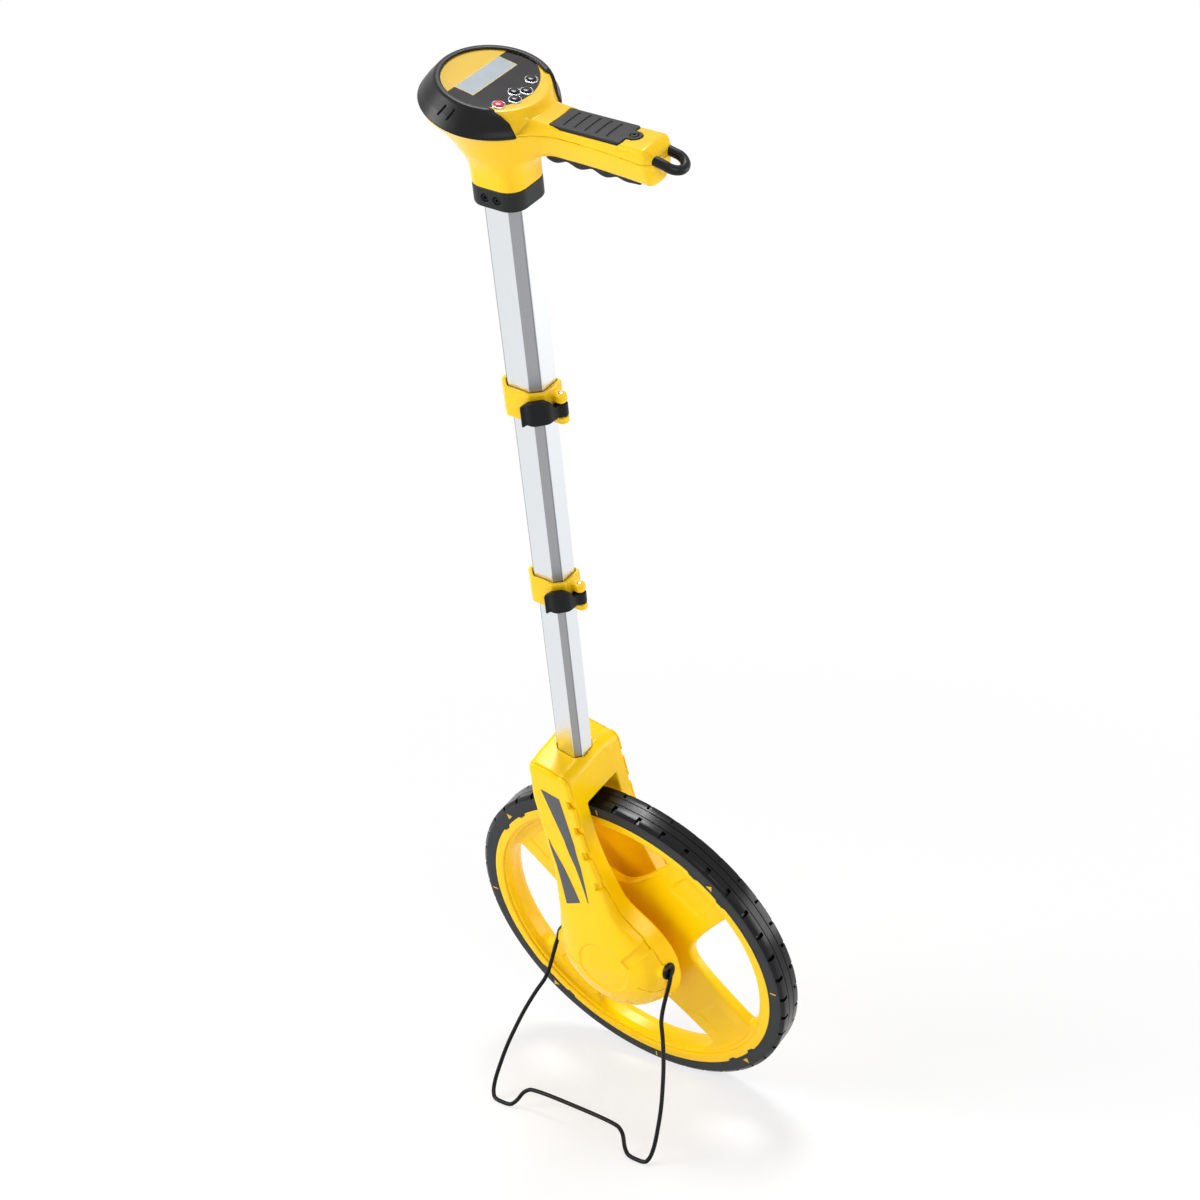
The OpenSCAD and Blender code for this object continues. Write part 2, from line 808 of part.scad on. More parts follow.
// The outside of the flaring neck, or its hollow when inset by the wall
module neck_solid(inset) {
    base = collar_s + collar_h;
    low = base - (inset > 0 ? 1 : 0);
    rise = face_s - pod_depth - base;
    flare = bumper_r - bumper_step - neck_r;
    rotate_extrude() polygon([
        [0, low],
        [neck_r - inset, low],
        [neck_r + 0.03 * flare - inset, base + 0.12 * rise],
        [neck_r + 0.14 * flare - inset, base + 0.33 * rise],
        [neck_r + 0.35 * flare - inset, base + 0.57 * rise],
        [neck_r + 0.66 * flare - inset, base + 0.8 * rise],
        [neck_r + flare - inset, base + rise],
        [neck_r + flare - inset, base + 1.3 * rise],
        [0, base + 1.3 * rise]]);
}

// The outside of the handle, or its hollow when inset by the wall
module handle_solid(inset) {
    side = handle_w / 2 - inset;
    translate([handle_start, 0, 0]) rotate([90, 0, 90])
        linear_extrude(handle_end - handle_start - inset) polygon([
            [-side, handle_mid],
            [-side + 1, handle_mid - 10],
            [-side + 7, handle_low + inset],
            [side - 7, handle_low + inset],
            [side - 1, handle_mid - 10],
            [side, handle_mid],
            [side - 4, handle_top - inset],
            [-side + 4, handle_top - inset]]);
}

// The round pod under the face, with its sloping back between the bumper's ends
module pod_solid(inset) {
    low = -pod_depth - (inset > 0 ? 5 : 4);
    translate([0, 0, face_s]) rotate([0, face_tilt, 0]) {
        translate([0, 0, low]) cylinder(-low - inset, r = pod_r - inset);
        rotate(-bumper_open / 2) rotate_extrude(angle = bumper_open) polygon([
            [face_r / 2, low],
            [bumper_r - bumper_step - inset, low],
            [bumper_r - bumper_step - inset, -pod_depth],
            [pod_r + 7 - inset, -0.5 * pod_depth],
            [pod_r + 0.5 - inset, -1 - inset],
            [face_r / 2, -1 - inset]]);
    }
}

// Everything below the seam between the shells: tilted under the pod and level along the handle
module below_seam() {
    far = 2 * bumper_r;
    rotate([90, 0, 0]) linear_extrude(4 * bumper_r, center = true) polygon([
        [-far, handle_mid + (part_u + far) * tan(face_tilt)],
        [part_u, handle_mid],
        [handle_end + far, handle_mid],
        [handle_end + far, 0],
        [-far, 0]]);
}

module shell_posts(low, top, r) {
    for (u = [post_in_u, post_out_u]) translate([u, 0, low]) cylinder(top - low, r = r);
}

post_inset = 3;
post_in_u = bumper_r - post_inset;
post_out_u = handle_end - 9;
post_r = 4;

module lower_shell() {
    color(yellow) mast() difference() {
        union() {
            intersection() {
                difference() {
                    union() {
                        neck_solid(0);
                        handle_solid(0);
                    }
                    neck_solid(shell_wall);
                    handle_solid(shell_wall);
                }
                below_seam();
            }
            shell_posts(handle_low + 1, handle_mid, post_r);
        }
        translate([0, 0, collar_s]) linear_extrude(collar_h + 1) tube_outline(tube_size(2), tube_cut(2));
        shell_posts(handle_low - 1, handle_mid + 1, screw_r + eps);
        // Seats of the finger grip and of the screw heads
        translate([grip_start - fit, -grip_half - fit, handle_low - 1])
            cube([grip_end - grip_start + 2 * fit, 2 * (grip_half + fit), grip_t + 1]);
        shell_posts(handle_low - 1, handle_low + grip_t + screw_head_h, screw_head_r + fit);
        loop_legs(loop_r + fit);
    }
}

grip_half = handle_w / 2 - 8;

module upper_shell() {
    color(yellow) mast() difference() {
        union() {
            difference() {
                union() {
                    handle_solid(0);
                    pod_solid(0);
                }
                handle_solid(shell_wall);
                pod_solid(shell_wall);
                below_seam();
            }
            shell_posts(handle_mid, handle_top - shell_wall / 2, post_r);
        }
        shell_posts(handle_mid - 1, handle_top - shell_wall, screw_r + eps);
        loop_legs(loop_r + fit);
        // Opening and rebate of the battery cover, and the hole of its screw
        translate([cover_mid_u - cover_len / 2 - fit, -cover_half_w - fit, handle_top - cover_lid_t])
            cube([cover_len + 2 * fit, 2 * (cover_half_w + fit), cover_lid_t + 1]);
        translate([cover_mid_u - cover_len / 2 + 2, -cover_half_w + 2, handle_mid + 1])
            cube([cover_len - 8, 2 * cover_half_w - 4, 20]);
        tab_place() translate([0, 0, -cover_lid_t]) cylinder(cover_lid_t + 1, r = tab_r + fit);
        tab_place() translate([0, 0, -8]) cylinder(9, r = screw_r + eps);
        // Seat of the face panel, the display's well and the buttons' holes
        translate([0, 0, face_s]) rotate([0, face_tilt, 0]) {
            translate([0, 0, -panel_t]) linear_extrude(panel_t + 1) panel_outline(fit);
            lcd_block(fit, 2 * shell_wall);
            at_buttons() translate([0, 0, -pod_depth / 2]) cylinder(pod_depth, r = button_r + gap);
        }
    }
}

module bumper() {
    color(black) face() rotate(bumper_open / 2) rotate_extrude(angle = 360 - bumper_open) polygon([
        [pod_r + eps, -pod_depth],
        [bumper_r - 1, -pod_depth],
        [bumper_r, -pod_depth + 2],
        [bumper_r - 5, -0.45 * pod_depth],
        [pod_r + 3, 0],
        [pod_r + 1.5, bumper_lip],
        [pod_r + eps, bumper_lip]]);
}

panel_rear_r = 60;
panel_rear_u = 27;

// The panel's outline stops short of the buttons' rear, where the shell shows
module panel_outline(grow) {
    intersection() {
        circle(face_r + grow);
        translate([panel_rear_u - panel_rear_r, 0]) circle(panel_rear_r + grow);
    }
}

lcd_u = -7.5;

module lcd_block(grow, depth) {
    translate([lcd_u - lcd_x / 2 - grow, -lcd_y / 2 - grow, -depth])
        cube([lcd_x + 2 * grow, lcd_y + 2 * grow, depth + 1]);
}

module at_buttons() {
    for (b = buttons) translate([b[0], b[1], 0]) children();
}

module face_panel() {
    color("#38353a") face() difference() {
        translate([0, 0, -panel_t]) linear_extrude(panel_t) panel_outline(0);
        lcd_block(fit, 2 * panel_t);
        at_buttons() translate([0, 0, -2 * panel_t]) cylinder(4 * panel_t, r = button_r + gap);
    }
}

window_t = 1.2;

module display_window() {
    color("#b4bfc6") face() translate([lcd_u - lcd_x / 2, -lcd_y / 2, -window_t])
        cube([lcd_x, lcd_y, window_t]);
}

module_t = board_down - window_t;

module display_module() {
    color("#8d9a90") face() translate([lcd_u - lcd_x / 2, -lcd_y / 2, -board_down])
        cube([lcd_x, lcd_y, module_t]);
}

module main_board() {
    color("#2c6e49") face() translate([0, 0, -board_down - board_t])
        cylinder(board_t, r = pod_r - shell_wall - fit);
}

button_low = -8;

module switches() {
    top = button_low - button_travel - 0.2;
    color("#3c3c3c") face() at_buttons() translate([-3, -3, -board_down]) cube([6, 6, top + board_down]);
}

module button_rings() {
    color("#dfe1e2") face() at_buttons() difference() {
        cylinder(0.8, r = button_r + gap + 1);
        translate([0, 0, -1]) cylinder(3, r = button_r + gap);
    }
}

module button(i, tint) {
    color(tint) face() translate([buttons[i][0], buttons[i][1], button_low])
        cylinder(2.4 - button_low, r = button_r);
}

module red_button() {
    button(0, "#d8354a");
}

module button_1() {
    button(1, black);
}

module button_2() {
    button(2, black);
}

module button_3() {
    button(3, black);
}

module button_4() {
    button(4, black);
}

// Handle

tab_r = 6;

module tab_place() {
    translate([cover_mid_u + cover_len / 2 + 4, 0, handle_top]) children();
}

module battery_cover() {
    ribs = 5;
    color(black) mast() difference() {
        union() {
            translate([cover_mid_u - cover_len / 2, -cover_half_w, handle_top - cover_lid_t + eps])
                cube([cover_len, 2 * cover_half_w, cover_lid_t + 0.8]);
            tab_place() translate([0, 0, -cover_lid_t + eps]) cylinder(cover_lid_t + 0.8, r = tab_r);
        }
        tab_place() translate([0, 0, -5]) cylinder(10, r = screw_r + eps);
        for (i = [0:ribs - 1])
            translate([cover_mid_u - cover_len / 2 + 11 + 10 * i, -cover_half_w + 5, handle_top])
                cube([1.4, 2 * cover_half_w - 10, 5]);
    }
}

module battery_screw() {
    color(steel) mast() tab_place() {
        translate([0, 0, -6]) cylinder(8, r = screw_r);
        translate([0, 0, 0.8 + eps]) cylinder(screw_head_h, r = screw_head_r);
    }
}

module battery_cells() {
    color("#b9a26a") mast() for (side = [-1, 1])
        translate([cell_u, side * cell_y, cell_s]) rotate([0, 90, 0])
            cylinder(cell_len, r = cell_r, center = true);
}

module battery_contacts() {
    color(steel) mast() for (end = [-1, 1])
        translate([cell_u + end * (cell_len / 2 + 2 * gap), 0, cell_s + 1])
            cube([2 * gap, 3 * cell_r, cell_r], center = true);
}

module finger_grip() {
    bump_r = 20;
    color(black) mast() {
        translate([grip_start, -grip_half, handle_low])
            cube([grip_end - grip_start, 2 * grip_half, grip_t]);
        intersection() {
            translate([grip_start, -grip_half, handle_low - 4])
                cube([grip_end - grip_start, 2 * grip_half, 5]);
            for (i = [0:3])
                translate([grip_start + 8 + 24 * i, 0, handle_low + bump_r - 3]) rotate([90, 0, 0])
                    cylinder(2 * grip_half, r = bump_r, center = true);
        }
    }
}

module shell_screws() {
    color(steel) mast() {
        shell_posts(handle_low + grip_t, handle_top - shell_wall - 1, screw_r);
        shell_posts(handle_low + grip_t, handle_low + grip_t + screw_head_h, screw_head_r);
    }
}

loop_mid = loop_gap / 2 + loop_r;
loop_s = handle_mid - 5;
loop_straight = 10;
loop_root = 8;

module loop_legs(r) {
    for (side = [-1, 1])
        translate([handle_end - loop_root, side * loop_mid, loop_s]) rotate([0, 90, 0])
            cylinder(loop_root + loop_straight, r = r);
}

module hang_loop() {
    color(black) mast() {
        loop_legs(loop_r);
        translate([handle_end + loop_straight, 0, loop_s]) rotate(-90)
            rotate_extrude(angle = 180) translate([loop_mid, 0]) circle(loop_r);
    }
}

tyre();
wheel();
wheel_bushes();
encoder_ring();
encoder_magnets();
axle();
axle_spacers();
axle_nuts();
fork_frame();
near_arm_cover();
far_arm_cover();
sensor_board();
stand_bushings();
stand();
lower_tube();
tube_plug();
crown_bolt();
lower_tube_guide();
middle_tube();
lower_clamp();
lower_lever_pin();
lower_lever();
middle_tube_guide();
upper_tube();
upper_clamp();
upper_lever_pin();
upper_lever();
head_collar();
collar_screws();
lower_shell();
upper_shell();
bumper();
face_panel();
display_window();
display_module();
main_board();
switches();
button_rings();
red_button();
button_1();
button_2();
button_3();
button_4();
battery_cover();
battery_screw();
battery_cells();
battery_contacts();
finger_grip();
shell_screws();
hang_loop();
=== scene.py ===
# Measuring wheel on its side stand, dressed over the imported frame.
import json
from itertools import product
from math import cos, degrees, pi, radians, sin, sqrt

import bpy
import numpy as np
from mathutils import Matrix, Quaternion, Vector


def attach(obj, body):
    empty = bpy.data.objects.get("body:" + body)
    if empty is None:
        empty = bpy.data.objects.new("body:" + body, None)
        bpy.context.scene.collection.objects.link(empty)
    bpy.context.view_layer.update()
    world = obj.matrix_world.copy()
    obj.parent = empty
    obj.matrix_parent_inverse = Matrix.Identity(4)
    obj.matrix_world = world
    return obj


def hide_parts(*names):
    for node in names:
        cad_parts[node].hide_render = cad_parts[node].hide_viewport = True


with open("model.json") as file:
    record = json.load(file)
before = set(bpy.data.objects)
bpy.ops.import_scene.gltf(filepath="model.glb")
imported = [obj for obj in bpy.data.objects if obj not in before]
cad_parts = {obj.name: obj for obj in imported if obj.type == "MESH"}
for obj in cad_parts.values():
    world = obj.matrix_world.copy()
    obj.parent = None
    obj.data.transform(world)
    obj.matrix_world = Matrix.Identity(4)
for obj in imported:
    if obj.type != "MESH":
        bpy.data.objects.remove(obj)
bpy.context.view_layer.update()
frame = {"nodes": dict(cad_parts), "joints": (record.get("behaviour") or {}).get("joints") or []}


# Wheel
# One moulding of yellow ABS: a rim that carries the tyre, four broad spokes with round edges and a hub.
# The mould is polished, so the skin is glossy, and every inner corner has a fillet.

mm = 0.001
joints = {joint["name"]: joint for joint in frame["joints"]}
axle_line = Vector(joints["wheel_spin"]["axis"])
fore_aft = Vector((1, 0, 0))
upright = Matrix((fore_aft, axle_line, fore_aft.cross(axle_line))).transposed()
machine = Matrix.Translation(joints["wheel_spin"]["pos_m"]) @ upright.to_4x4() @ Matrix.Scale(mm, 4)

wheel_turn = radians(-2.2)
rim_out_r = 174
rim_in_r = 163
rim_wall = 8
rim_half = 13.4
spoke_w = 74
spoke_half_t = 6
window_round = 24
window_corner = 16
spoke_panel_r = 131.5
spoke_panel_half = (17, 19)
spoke_panel_deep = 0.9
hub_r = 34
hub_half = 18
bush_r = 11


def tint(code):
    """Linear colour of an sRGB hex code"""
    parts = [int(code[i:i + 2], 16) / 255 for i in (1, 3, 5)]
    return [p / 12.92 if p <= 0.04045 else ((p + 0.055) / 1.055) ** 2.4 for p in parts] + [1]


def add(tree, kind, inputs, **settings):
    """A shader node with its settings, and a value or a link on each named input"""
    made = tree.nodes.new("ShaderNode" + kind)
    for name, value in settings.items():
        setattr(made, name, value)
    for name, value in inputs.items():
        if isinstance(value, bpy.types.NodeSocket):
            tree.links.new(value, made.inputs[name])
        else:
            made.inputs[name].default_value = value
    return made


def new_finish(name, **sockets):
    """An empty finish with constants on its shader's own sockets"""
    made = bpy.data.materials.new(name)
    made.use_nodes = True
    shader = made.node_tree.nodes["Principled BSDF"]
    for socket, value in sockets.items():
        shader.inputs[socket.replace("_", " ")].default_value = value
    return made, made.node_tree, shader


def shade(tree, shader, pattern, light, dark, gloss):
    """Two close shades and an uneven gloss that follow one pattern"""
    shades = add(tree, "Mix", {0: pattern, 6: tint(light), 7: tint(dark)}, data_type="RGBA")
    tree.links.new(shades.outputs[2], shader.inputs["Base Color"])
    low, high = gloss
    sheen = add(tree, "MapRange", {"Value": pattern, "To Min": low, "To Max": high})
    tree.links.new(sheen.outputs["Result"], shader.inputs["Roughness"])


def mottled(name, light, dark, patch_mm, gloss, grain_mm, grain_depth_mm, **sockets):
    """A moulded finish: two close shades in soft patches, an uneven gloss and a fine grain"""
    made, tree, shader = new_finish(name, **sockets)
    spot = add(tree, "TexCoord", {}).outputs["Object"]
    patches = add(tree, "TexNoise", {"Vector": spot, "Scale": 1 / (patch_mm * mm), "Detail": 2.0})
    shade(tree, shader, patches.outputs["Fac"], light, dark, gloss)
    grain = add(tree, "TexNoise", {"Vector": spot, "Scale": 1 / (grain_mm * mm), "Detail": 1.0})
    bump = add(tree, "Bump", {"Height": grain.outputs["Fac"], "Distance": grain_depth_mm * mm,
                              "Strength": 0.6})
    tree.links.new(bump.outputs["Normal"], shader.inputs["Normal"])
    return made


# Glossy ABS: saturated yellow that turns orange where it lights itself, with faint moulding ripple
yellow_abs = mottled("glossy_yellow_abs", "#ffd100", "#ffcb00", 60, (0.22, 0.3), 1.2, 0.004,
                     Specular_IOR_Level=0.22)


def joined(a, b, fillet):
    """Distance of two forms made one, with a fillet between them"""
    share = np.clip(0.5 + 0.5 * (b - a) / fillet, 0, 1)
    return b + (a - b) * share - fillet * share * (1 - share)


def trimmed(a, b, round_mm):
    """Distance of what two forms have in common, with a rounded edge"""
    return -joined(-a, -b, round_mm)


def cut(a, b, round_mm):
    """Distance of one form with another taken out of it"""
    return trimmed(a, -b, round_mm)


def skin(form, low, high, cell):
    """Points, four-sided faces and normals of the skin where the distance form(x, y, z) is zero"""
    axes = [np.arange(start, end + cell, cell) for start, end in zip(low, high)]
    field = form(*np.meshgrid(*axes, indexing="ij", sparse=True))
    solid = np.broadcast_to(field, [len(axis) for axis in axes]) < 0
    filled = np.zeros([len(axis) - 1 for axis in axes], int)
    for corner in product((0, 1), repeat=3):
        filled += solid[tuple(slice(c, len(axis) - 1 + c) for c, axis in zip(corner, axes))]
    crossed = (filled > 0) & (filled < 8)
    number = np.full(crossed.shape, -1)
    number[crossed] = np.arange(crossed.sum())
    points = np.array(low) + (np.argwhere(crossed) + 0.5) * cell
    faces = []
    for axis in range(3):
        ahead, cells = np.swapaxes(solid, 0, axis), np.swapaxes(number, 0, axis)
        inner = ahead[:-1, 1:-1, 1:-1]
        i, j, k = np.nonzero(inner != ahead[1:, 1:-1, 1:-1])
        quads = np.stack([cells[i, j, k], cells[i, j + 1, k], cells[i, j + 1, k + 1], cells[i, j, k + 1]], 1)
        turned_over = inner[i, j, k] != (axis == 0)
        quads[turned_over] = quads[turned_over][:, ::-1]
        faces.append(quads)
    faces = np.concatenate(faces)
    here, there = faces.ravel(), np.roll(faces, -1, 1).ravel()
    neighbours = np.maximum(np.bincount(here, minlength=len(points)), 1)[:, None]
    # The points are spread evenly and drawn back onto the skin, in turns
    reach = 0.02
    for relaxing in range(5):
        if relaxing:
            sums = [np.bincount(here, points[there, axis], len(points)) for axis in range(3)]
            points = np.stack(sums, 1) / neighbours
        for nearing in range(2):
            slope = np.stack([(form(*(points + step).T) - form(*(points - step).T)) / (2 * reach)
                              for step in reach * np.eye(3)], 1)
            away = form(*points.T) / np.maximum((slope ** 2).sum(1), 0.2)
            points = points - slope * np.clip(away, -cell, cell)[:, None]
    normals = slope / np.maximum(np.linalg.norm(slope, axis=1), 1e-6)[:, None]
    return points, faces, normals


def moulded(form, low, high, cell, place):
    """A mesh of a form's skin, set in its place"""
    points, faces, normals = skin(form, low, high, cell)
    turn = np.array(place.to_3x3().normalized())
    points = points @ np.array(place.to_3x3()).T + np.array(place.translation)
    mesh = bpy.data.meshes.new("moulding")
    mesh.from_pydata(points.tolist(), [], faces.tolist())
    mesh.polygons.foreach_set("use_smooth", np.ones(len(faces), bool))
    mesh.normals_split_custom_set_from_vertices((normals @ turn.T).tolist())
    return mesh


def fitted(name, mesh, finish, body, slot, *nodes):
    """A piece that wears a finish, rides on a body and stands for CAD nodes"""
    made = bpy.data.objects.new(name, mesh)
    mesh.name = name
    mesh.materials.append(finish)
    bpy.context.scene.collection.objects.link(made)
    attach(made, body)
    if nodes:
        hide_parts(*nodes)
    return made


def wheel_form(x, y, z):
    across, up = x * cos(wheel_turn) + z * sin(wheel_turn), z * cos(wheel_turn) - x * sin(wheel_turn)
    r, side = np.hypot(across, up), np.abs(y)
    # Each window is a fan between two spokes, with a round apex and round corners at the rim
    far, near = np.maximum(abs(across), abs(up)), np.minimum(abs(across), abs(up))
    fan = (np.hypot(near, window_round) - far + spoke_w / sqrt(2)) / sqrt(2)
    window = trimmed(fan, r - rim_in_r, window_corner)
    # A shallow panel near the outer end of each spoke
    along, beside = (across + up) / sqrt(2), (up - across) / sqrt(2)
    out, off = np.maximum(abs(along), abs(beside)), np.minimum(abs(along), abs(beside))
    panel = trimmed(abs(out - spoke_panel_r) - spoke_panel_half[0], off - spoke_panel_half[1], 5)
    spokes = cut(trimmed(side - spoke_half_t, r - rim_out_r + 2, 2), window, 3.5)
    spokes = cut(spokes, trimmed(panel, spoke_half_t - spoke_panel_deep - side, 2.5), 2.5)
    band = trimmed(abs(r - rim_in_r - rim_wall / 2) - rim_wall / 2, side - rim_half, 2)
    wheel = joined(spokes, band, 8)
    wheel = joined(wheel, trimmed(r - hub_r, side - hub_half, 3), 9)
    return cut(wheel, r - bush_r, 1)


wheel_mesh = moulded(wheel_form, (-176, -20, -176), (176, 20, 176), 1.6, machine)
fitted("wheel_moulding", wheel_mesh, yellow_abs, "wheel", "yellow_plastic", "wheel")


def swept(rows, closed_rows, closed_ring=True):
    """Points and faces of a sheet through rows of points, each row a closed or open ring"""
    count, sides = len(rows), len(rows[0])
    faces = []
    for i in range(count if closed_rows else count - 1):
        for j in range(sides if closed_ring else sides - 1):
            a, b = i * sides, (i + 1) % count * sides
            faces.append((a + j, a + (j + 1) % sides, b + (j + 1) % sides, b + j))
    return [point for row in rows for point in row], faces


def meshed(points, faces, place, sharp=40):
    """A smooth mesh in its place, with edges sharper than an angle kept crisp"""
    mesh = bpy.data.meshes.new("piece")
    mesh.from_pydata([place @ Vector(point) for point in points], [], faces)
    mesh.polygons.foreach_set("use_smooth", np.ones(len(faces), bool))
    mesh.set_sharp_from_angle(angle=radians(sharp))
    mesh.update()
    return mesh


def round_axle(angle, r, y):
    return r * cos(angle), y, r * sin(angle)


# The flange round each side as radius and distance from the middle, with a step down to the rim's inner lip
half_rim = [
    (rim_out_r, 12), (176.6, 14.4), (177.2, 15.2), (176.8, 15.75), (168, 15.75), (167.3, 15.55),
    (166.9, 15.1), (166.6, 13), (167.5, 11)]
rim_steps = 360
rim_section = half_rim + [(r, -y) for r, y in half_rim[::-1]]
rows = [[round_axle(2 * pi * i / rim_steps, r, y) for r, y in rim_section] for i in range(rim_steps)]
rim_points, rim_faces = swept(rows, True)
fitted("wheel_rim", meshed(rim_points, rim_faces, machine, 35), yellow_abs, "wheel", "yellow_plastic")


# Tyre
# A ring of black rubber pressed over the rim, with a notched shoulder, two fine grooves round its tread
# and a lip with short tabs that laps onto the rim beside each printed mark.

tread_r = 194
slot_count = 42
slot_w = 4.2
slot_slant = 0.0012
slot_floor_r = 190.6
slot_in_y = 6.8
mark_angles = [132.8 - 90 * i for i in range(4)]

# Rubber: charcoal and dull on the sidewall, with a dusty bloom in soft patches
sidewall_rubber = mottled("moulded_sidewall_rubber", "#393b3d", "#303234", 30, (0.6, 0.75), 0.9, 0.03,
                          Specular_IOR_Level=0.2)
# Rubber where it rolls: blacker and rubbed smooth, so it throws soft highlights
tread_rubber = mottled("rolled_tread_rubber", "#060607", "#0c0c0d", 14, (0.16, 0.3), 0.9, 0.015,
                       Specular_IOR_Level=0.22)

# Half of the section from the bead to the middle of the tread, as radius and distance from the middle
half_section = [
    (174.4, 11.5), (177.1, 14.8), (177.6, 15.8), (186.5, 16), (189.2, 15.8), (190.2, 15.2),
    (193.3, 13.4), (193.8, 12.9), (tread_r, 12.2), (tread_r, 7), (tread_r, 6.6),
    (tread_r, 4.9), (193.8, 4.7), (193, 4.6), (193, 4.1), (193.8, 4), (tread_r, 3.8), (tread_r, 0)]
section = half_section + [(r, -y) for r, y in half_section[-2::-1]]
rings = []
pitch = 2 * pi / slot_count
slot_half = slot_w / 2 / tread_r
# A slot's edges as angles from its middle, in radians like slot_slant, by which each side leans
edges = [(-slot_half - slot_slant, False), (-slot_half + slot_slant, True), (0, True),
         (slot_half - slot_slant, True), (slot_half + slot_slant, False)]
for i in range(slot_count):
    middle = wheel_turn + pi / 4 + (i + 0.5) * pitch
    rings += [(middle + angle, slotted) for angle, slotted in edges]
    rings += [(middle + slot_half + (pitch - 2 * slot_half) * share, False) for share in (0.2, 0.4, 0.6, 0.8)]

rows = []
for angle, slotted in rings:
    row = []
    for r, y in section:
        in_slot = slotted and abs(y) > slot_in_y
        row.append(round_axle(angle, min(r, slot_floor_r) if in_slot else r, y))
    rows.append(row)
tyre_points, tyre_faces = swept(rows, True)
tyre_mesh = meshed(tyre_points, tyre_faces, machine, 30)
fitted("tyre_rubber_ring", tyre_mesh, sidewall_rubber, "wheel", "tyre_rubber", "tyre")
tyre_mesh.materials.append(tread_rubber)
# The section's points from the shoulder onward roll
tread_from = 5
tread_to = len(section) - 1 - tread_from
on_tread = [tread_from <= i % len(section) < tread_to for i in range(len(tyre_faces))]
tyre_mesh.polygons.foreach_set("material_index", np.array(on_tread, dtype=np.int32))

# The lip's radii and thickness, and its tabs in degrees from a mark
lip_in_r = 176.9
lip_out_r = 179
lip_y = (15.2, 16.05)
lip_steps = 720
tab_angle = 6.5
tab_half_angle = 1.7
tab_deep = 2.6
between_angle = 6
between_deep = 0.8


def lip_r(angle):
    """Inner radius of the lip: lower between the tabs of a mark, lowest under the tabs"""
    off = min(abs((degrees(angle) - mark + 180) % 360 - 180) for mark in mark_angles)
    tab = 1 / (1 + np.exp((abs(off - tab_angle) - tab_half_angle) * 6))
    between = 1 / (1 + np.exp((off - between_angle) * 5))
    return lip_in_r - tab_deep * tab - between_deep * between


for side in (-1, 1):
    rows = []
    for i in range(lip_steps):
        angle = 2 * pi * i / lip_steps
        inner = lip_r(angle)
        lip = [(lip_out_r, lip_y[0]), (lip_out_r, lip_y[1]), (inner + 0.5, lip_y[1]),
               (inner, lip_y[1] - 0.25), (inner, lip_y[0])]
        rows.append([round_axle(angle, r, side * y) for r, y in lip])
    lip_points, lip_faces = swept(rows, True)
    faces = lip_faces if side > 0 else [face[::-1] for face in lip_faces]
    fitted(f"tyre_lip_{'near' if side < 0 else 'far'}", meshed(lip_points, faces, machine),
           sidewall_rubber, "wheel", "tyre_rubber")

# Marks of paint on both sidewalls: a triangle at each quarter turn and a tick midway
# Flat yellow enamel, a little worn, as printed on rubber
mark_paint = mottled("printed_yellow_enamel", "#e8c21c", "#cfa915", 3, (0.5, 0.65), 0.5, 0.01)
mark_r = 183.5
mark_y = (15.7, 16.12)


def slab(outline, low, top):
    """Points and faces of a flat slab over an outline of (x, y) points"""
    count = len(outline)
    points = [(x, y, low) for x, y in outline] + [(x, y, top) for x, y in outline]
    faces = [tuple(range(count - 1, -1, -1)), tuple(range(count, 2 * count))]
    faces += [(i, (i + 1) % count, count + (i + 1) % count, count + i) for i in range(count)]
    return points, faces


mark_points, mark_faces = [], []
triangle = [(3.4, 0), (-3, 3.9), (-3, -3.9)]
tick = [(3.4, 0.8), (-3.4, 0.8), (-3.4, -0.8), (3.4, -0.8)]
for side, quarter, (shape, turn) in product((-1, 1), mark_angles, ((triangle, 0), (tick, 45))):
    angle = radians(quarter + turn)
    first = len(mark_points)
    points, faces = slab(shape, *mark_y)
    mark_points += [(
        (mark_r + out) * cos(angle) - over * sin(angle), side * y,
        (mark_r + out) * sin(angle) + over * cos(angle)) for out, over, y in points]
    mark_faces += [tuple(first + i for i in (face if side < 0 else face[::-1])) for face in faces]
fitted("tyre_marks", meshed(mark_points, mark_faces, machine), mark_paint, "wheel", "yellow_plastic")


# Axle, bushes and turn counter
# A plain steel axle held by two nuts; nylon bushes pressed in the hub, a dark ring with eight magnets on
# its near end, and a small circuit board that counts them. All of it hides inside the fork.

nodes = frame["nodes"]


def wear(finish, *names):
    """Gives carried-over CAD nodes their finish"""
    for name in names:
        nodes[name].data.materials.clear()
        nodes[name].data.materials.append(finish)


def bright_metal(name, light, dark, gloss, line_mm, run):
    """A drawn or turned metal: fine lines along a run of stretch factors, in colour and gloss"""
    made, tree, shader = new_finish(name, Metallic=1.0)
    spot = add(tree, "TexCoord", {}).outputs["Object"]
    pulled = add(tree, "Mapping", {"Vector": spot, "Scale": run})
    lines = add(tree, "TexNoise", {"Vector": pulled.outputs["Vector"], "Scale": 1 / (line_mm * mm),
                                   "Detail": 3.0})
    shade(tree, shader, lines.outputs["Fac"], light, dark, gloss)
    return made


# Zinc-plated steel: bluish grey, satin, with faint turning marks
zinc_steel = bright_metal("zinc_plated_steel", "#c9ccd0", "#aeb2b7", (0.22, 0.34), 0.6, (1, 1, 1))
# Nylon: milky and waxy
nylon = mottled("natural_nylon", "#ebe6d8", "#e2dccb", 8, (0.4, 0.5), 0.6, 0.01)
# Glass-filled nylon for small hidden parts: dark grey and dull
grey_nylon = mottled("filled_grey_nylon", "#4b4e51", "#434649", 8, (0.5, 0.6), 0.5, 0.02)
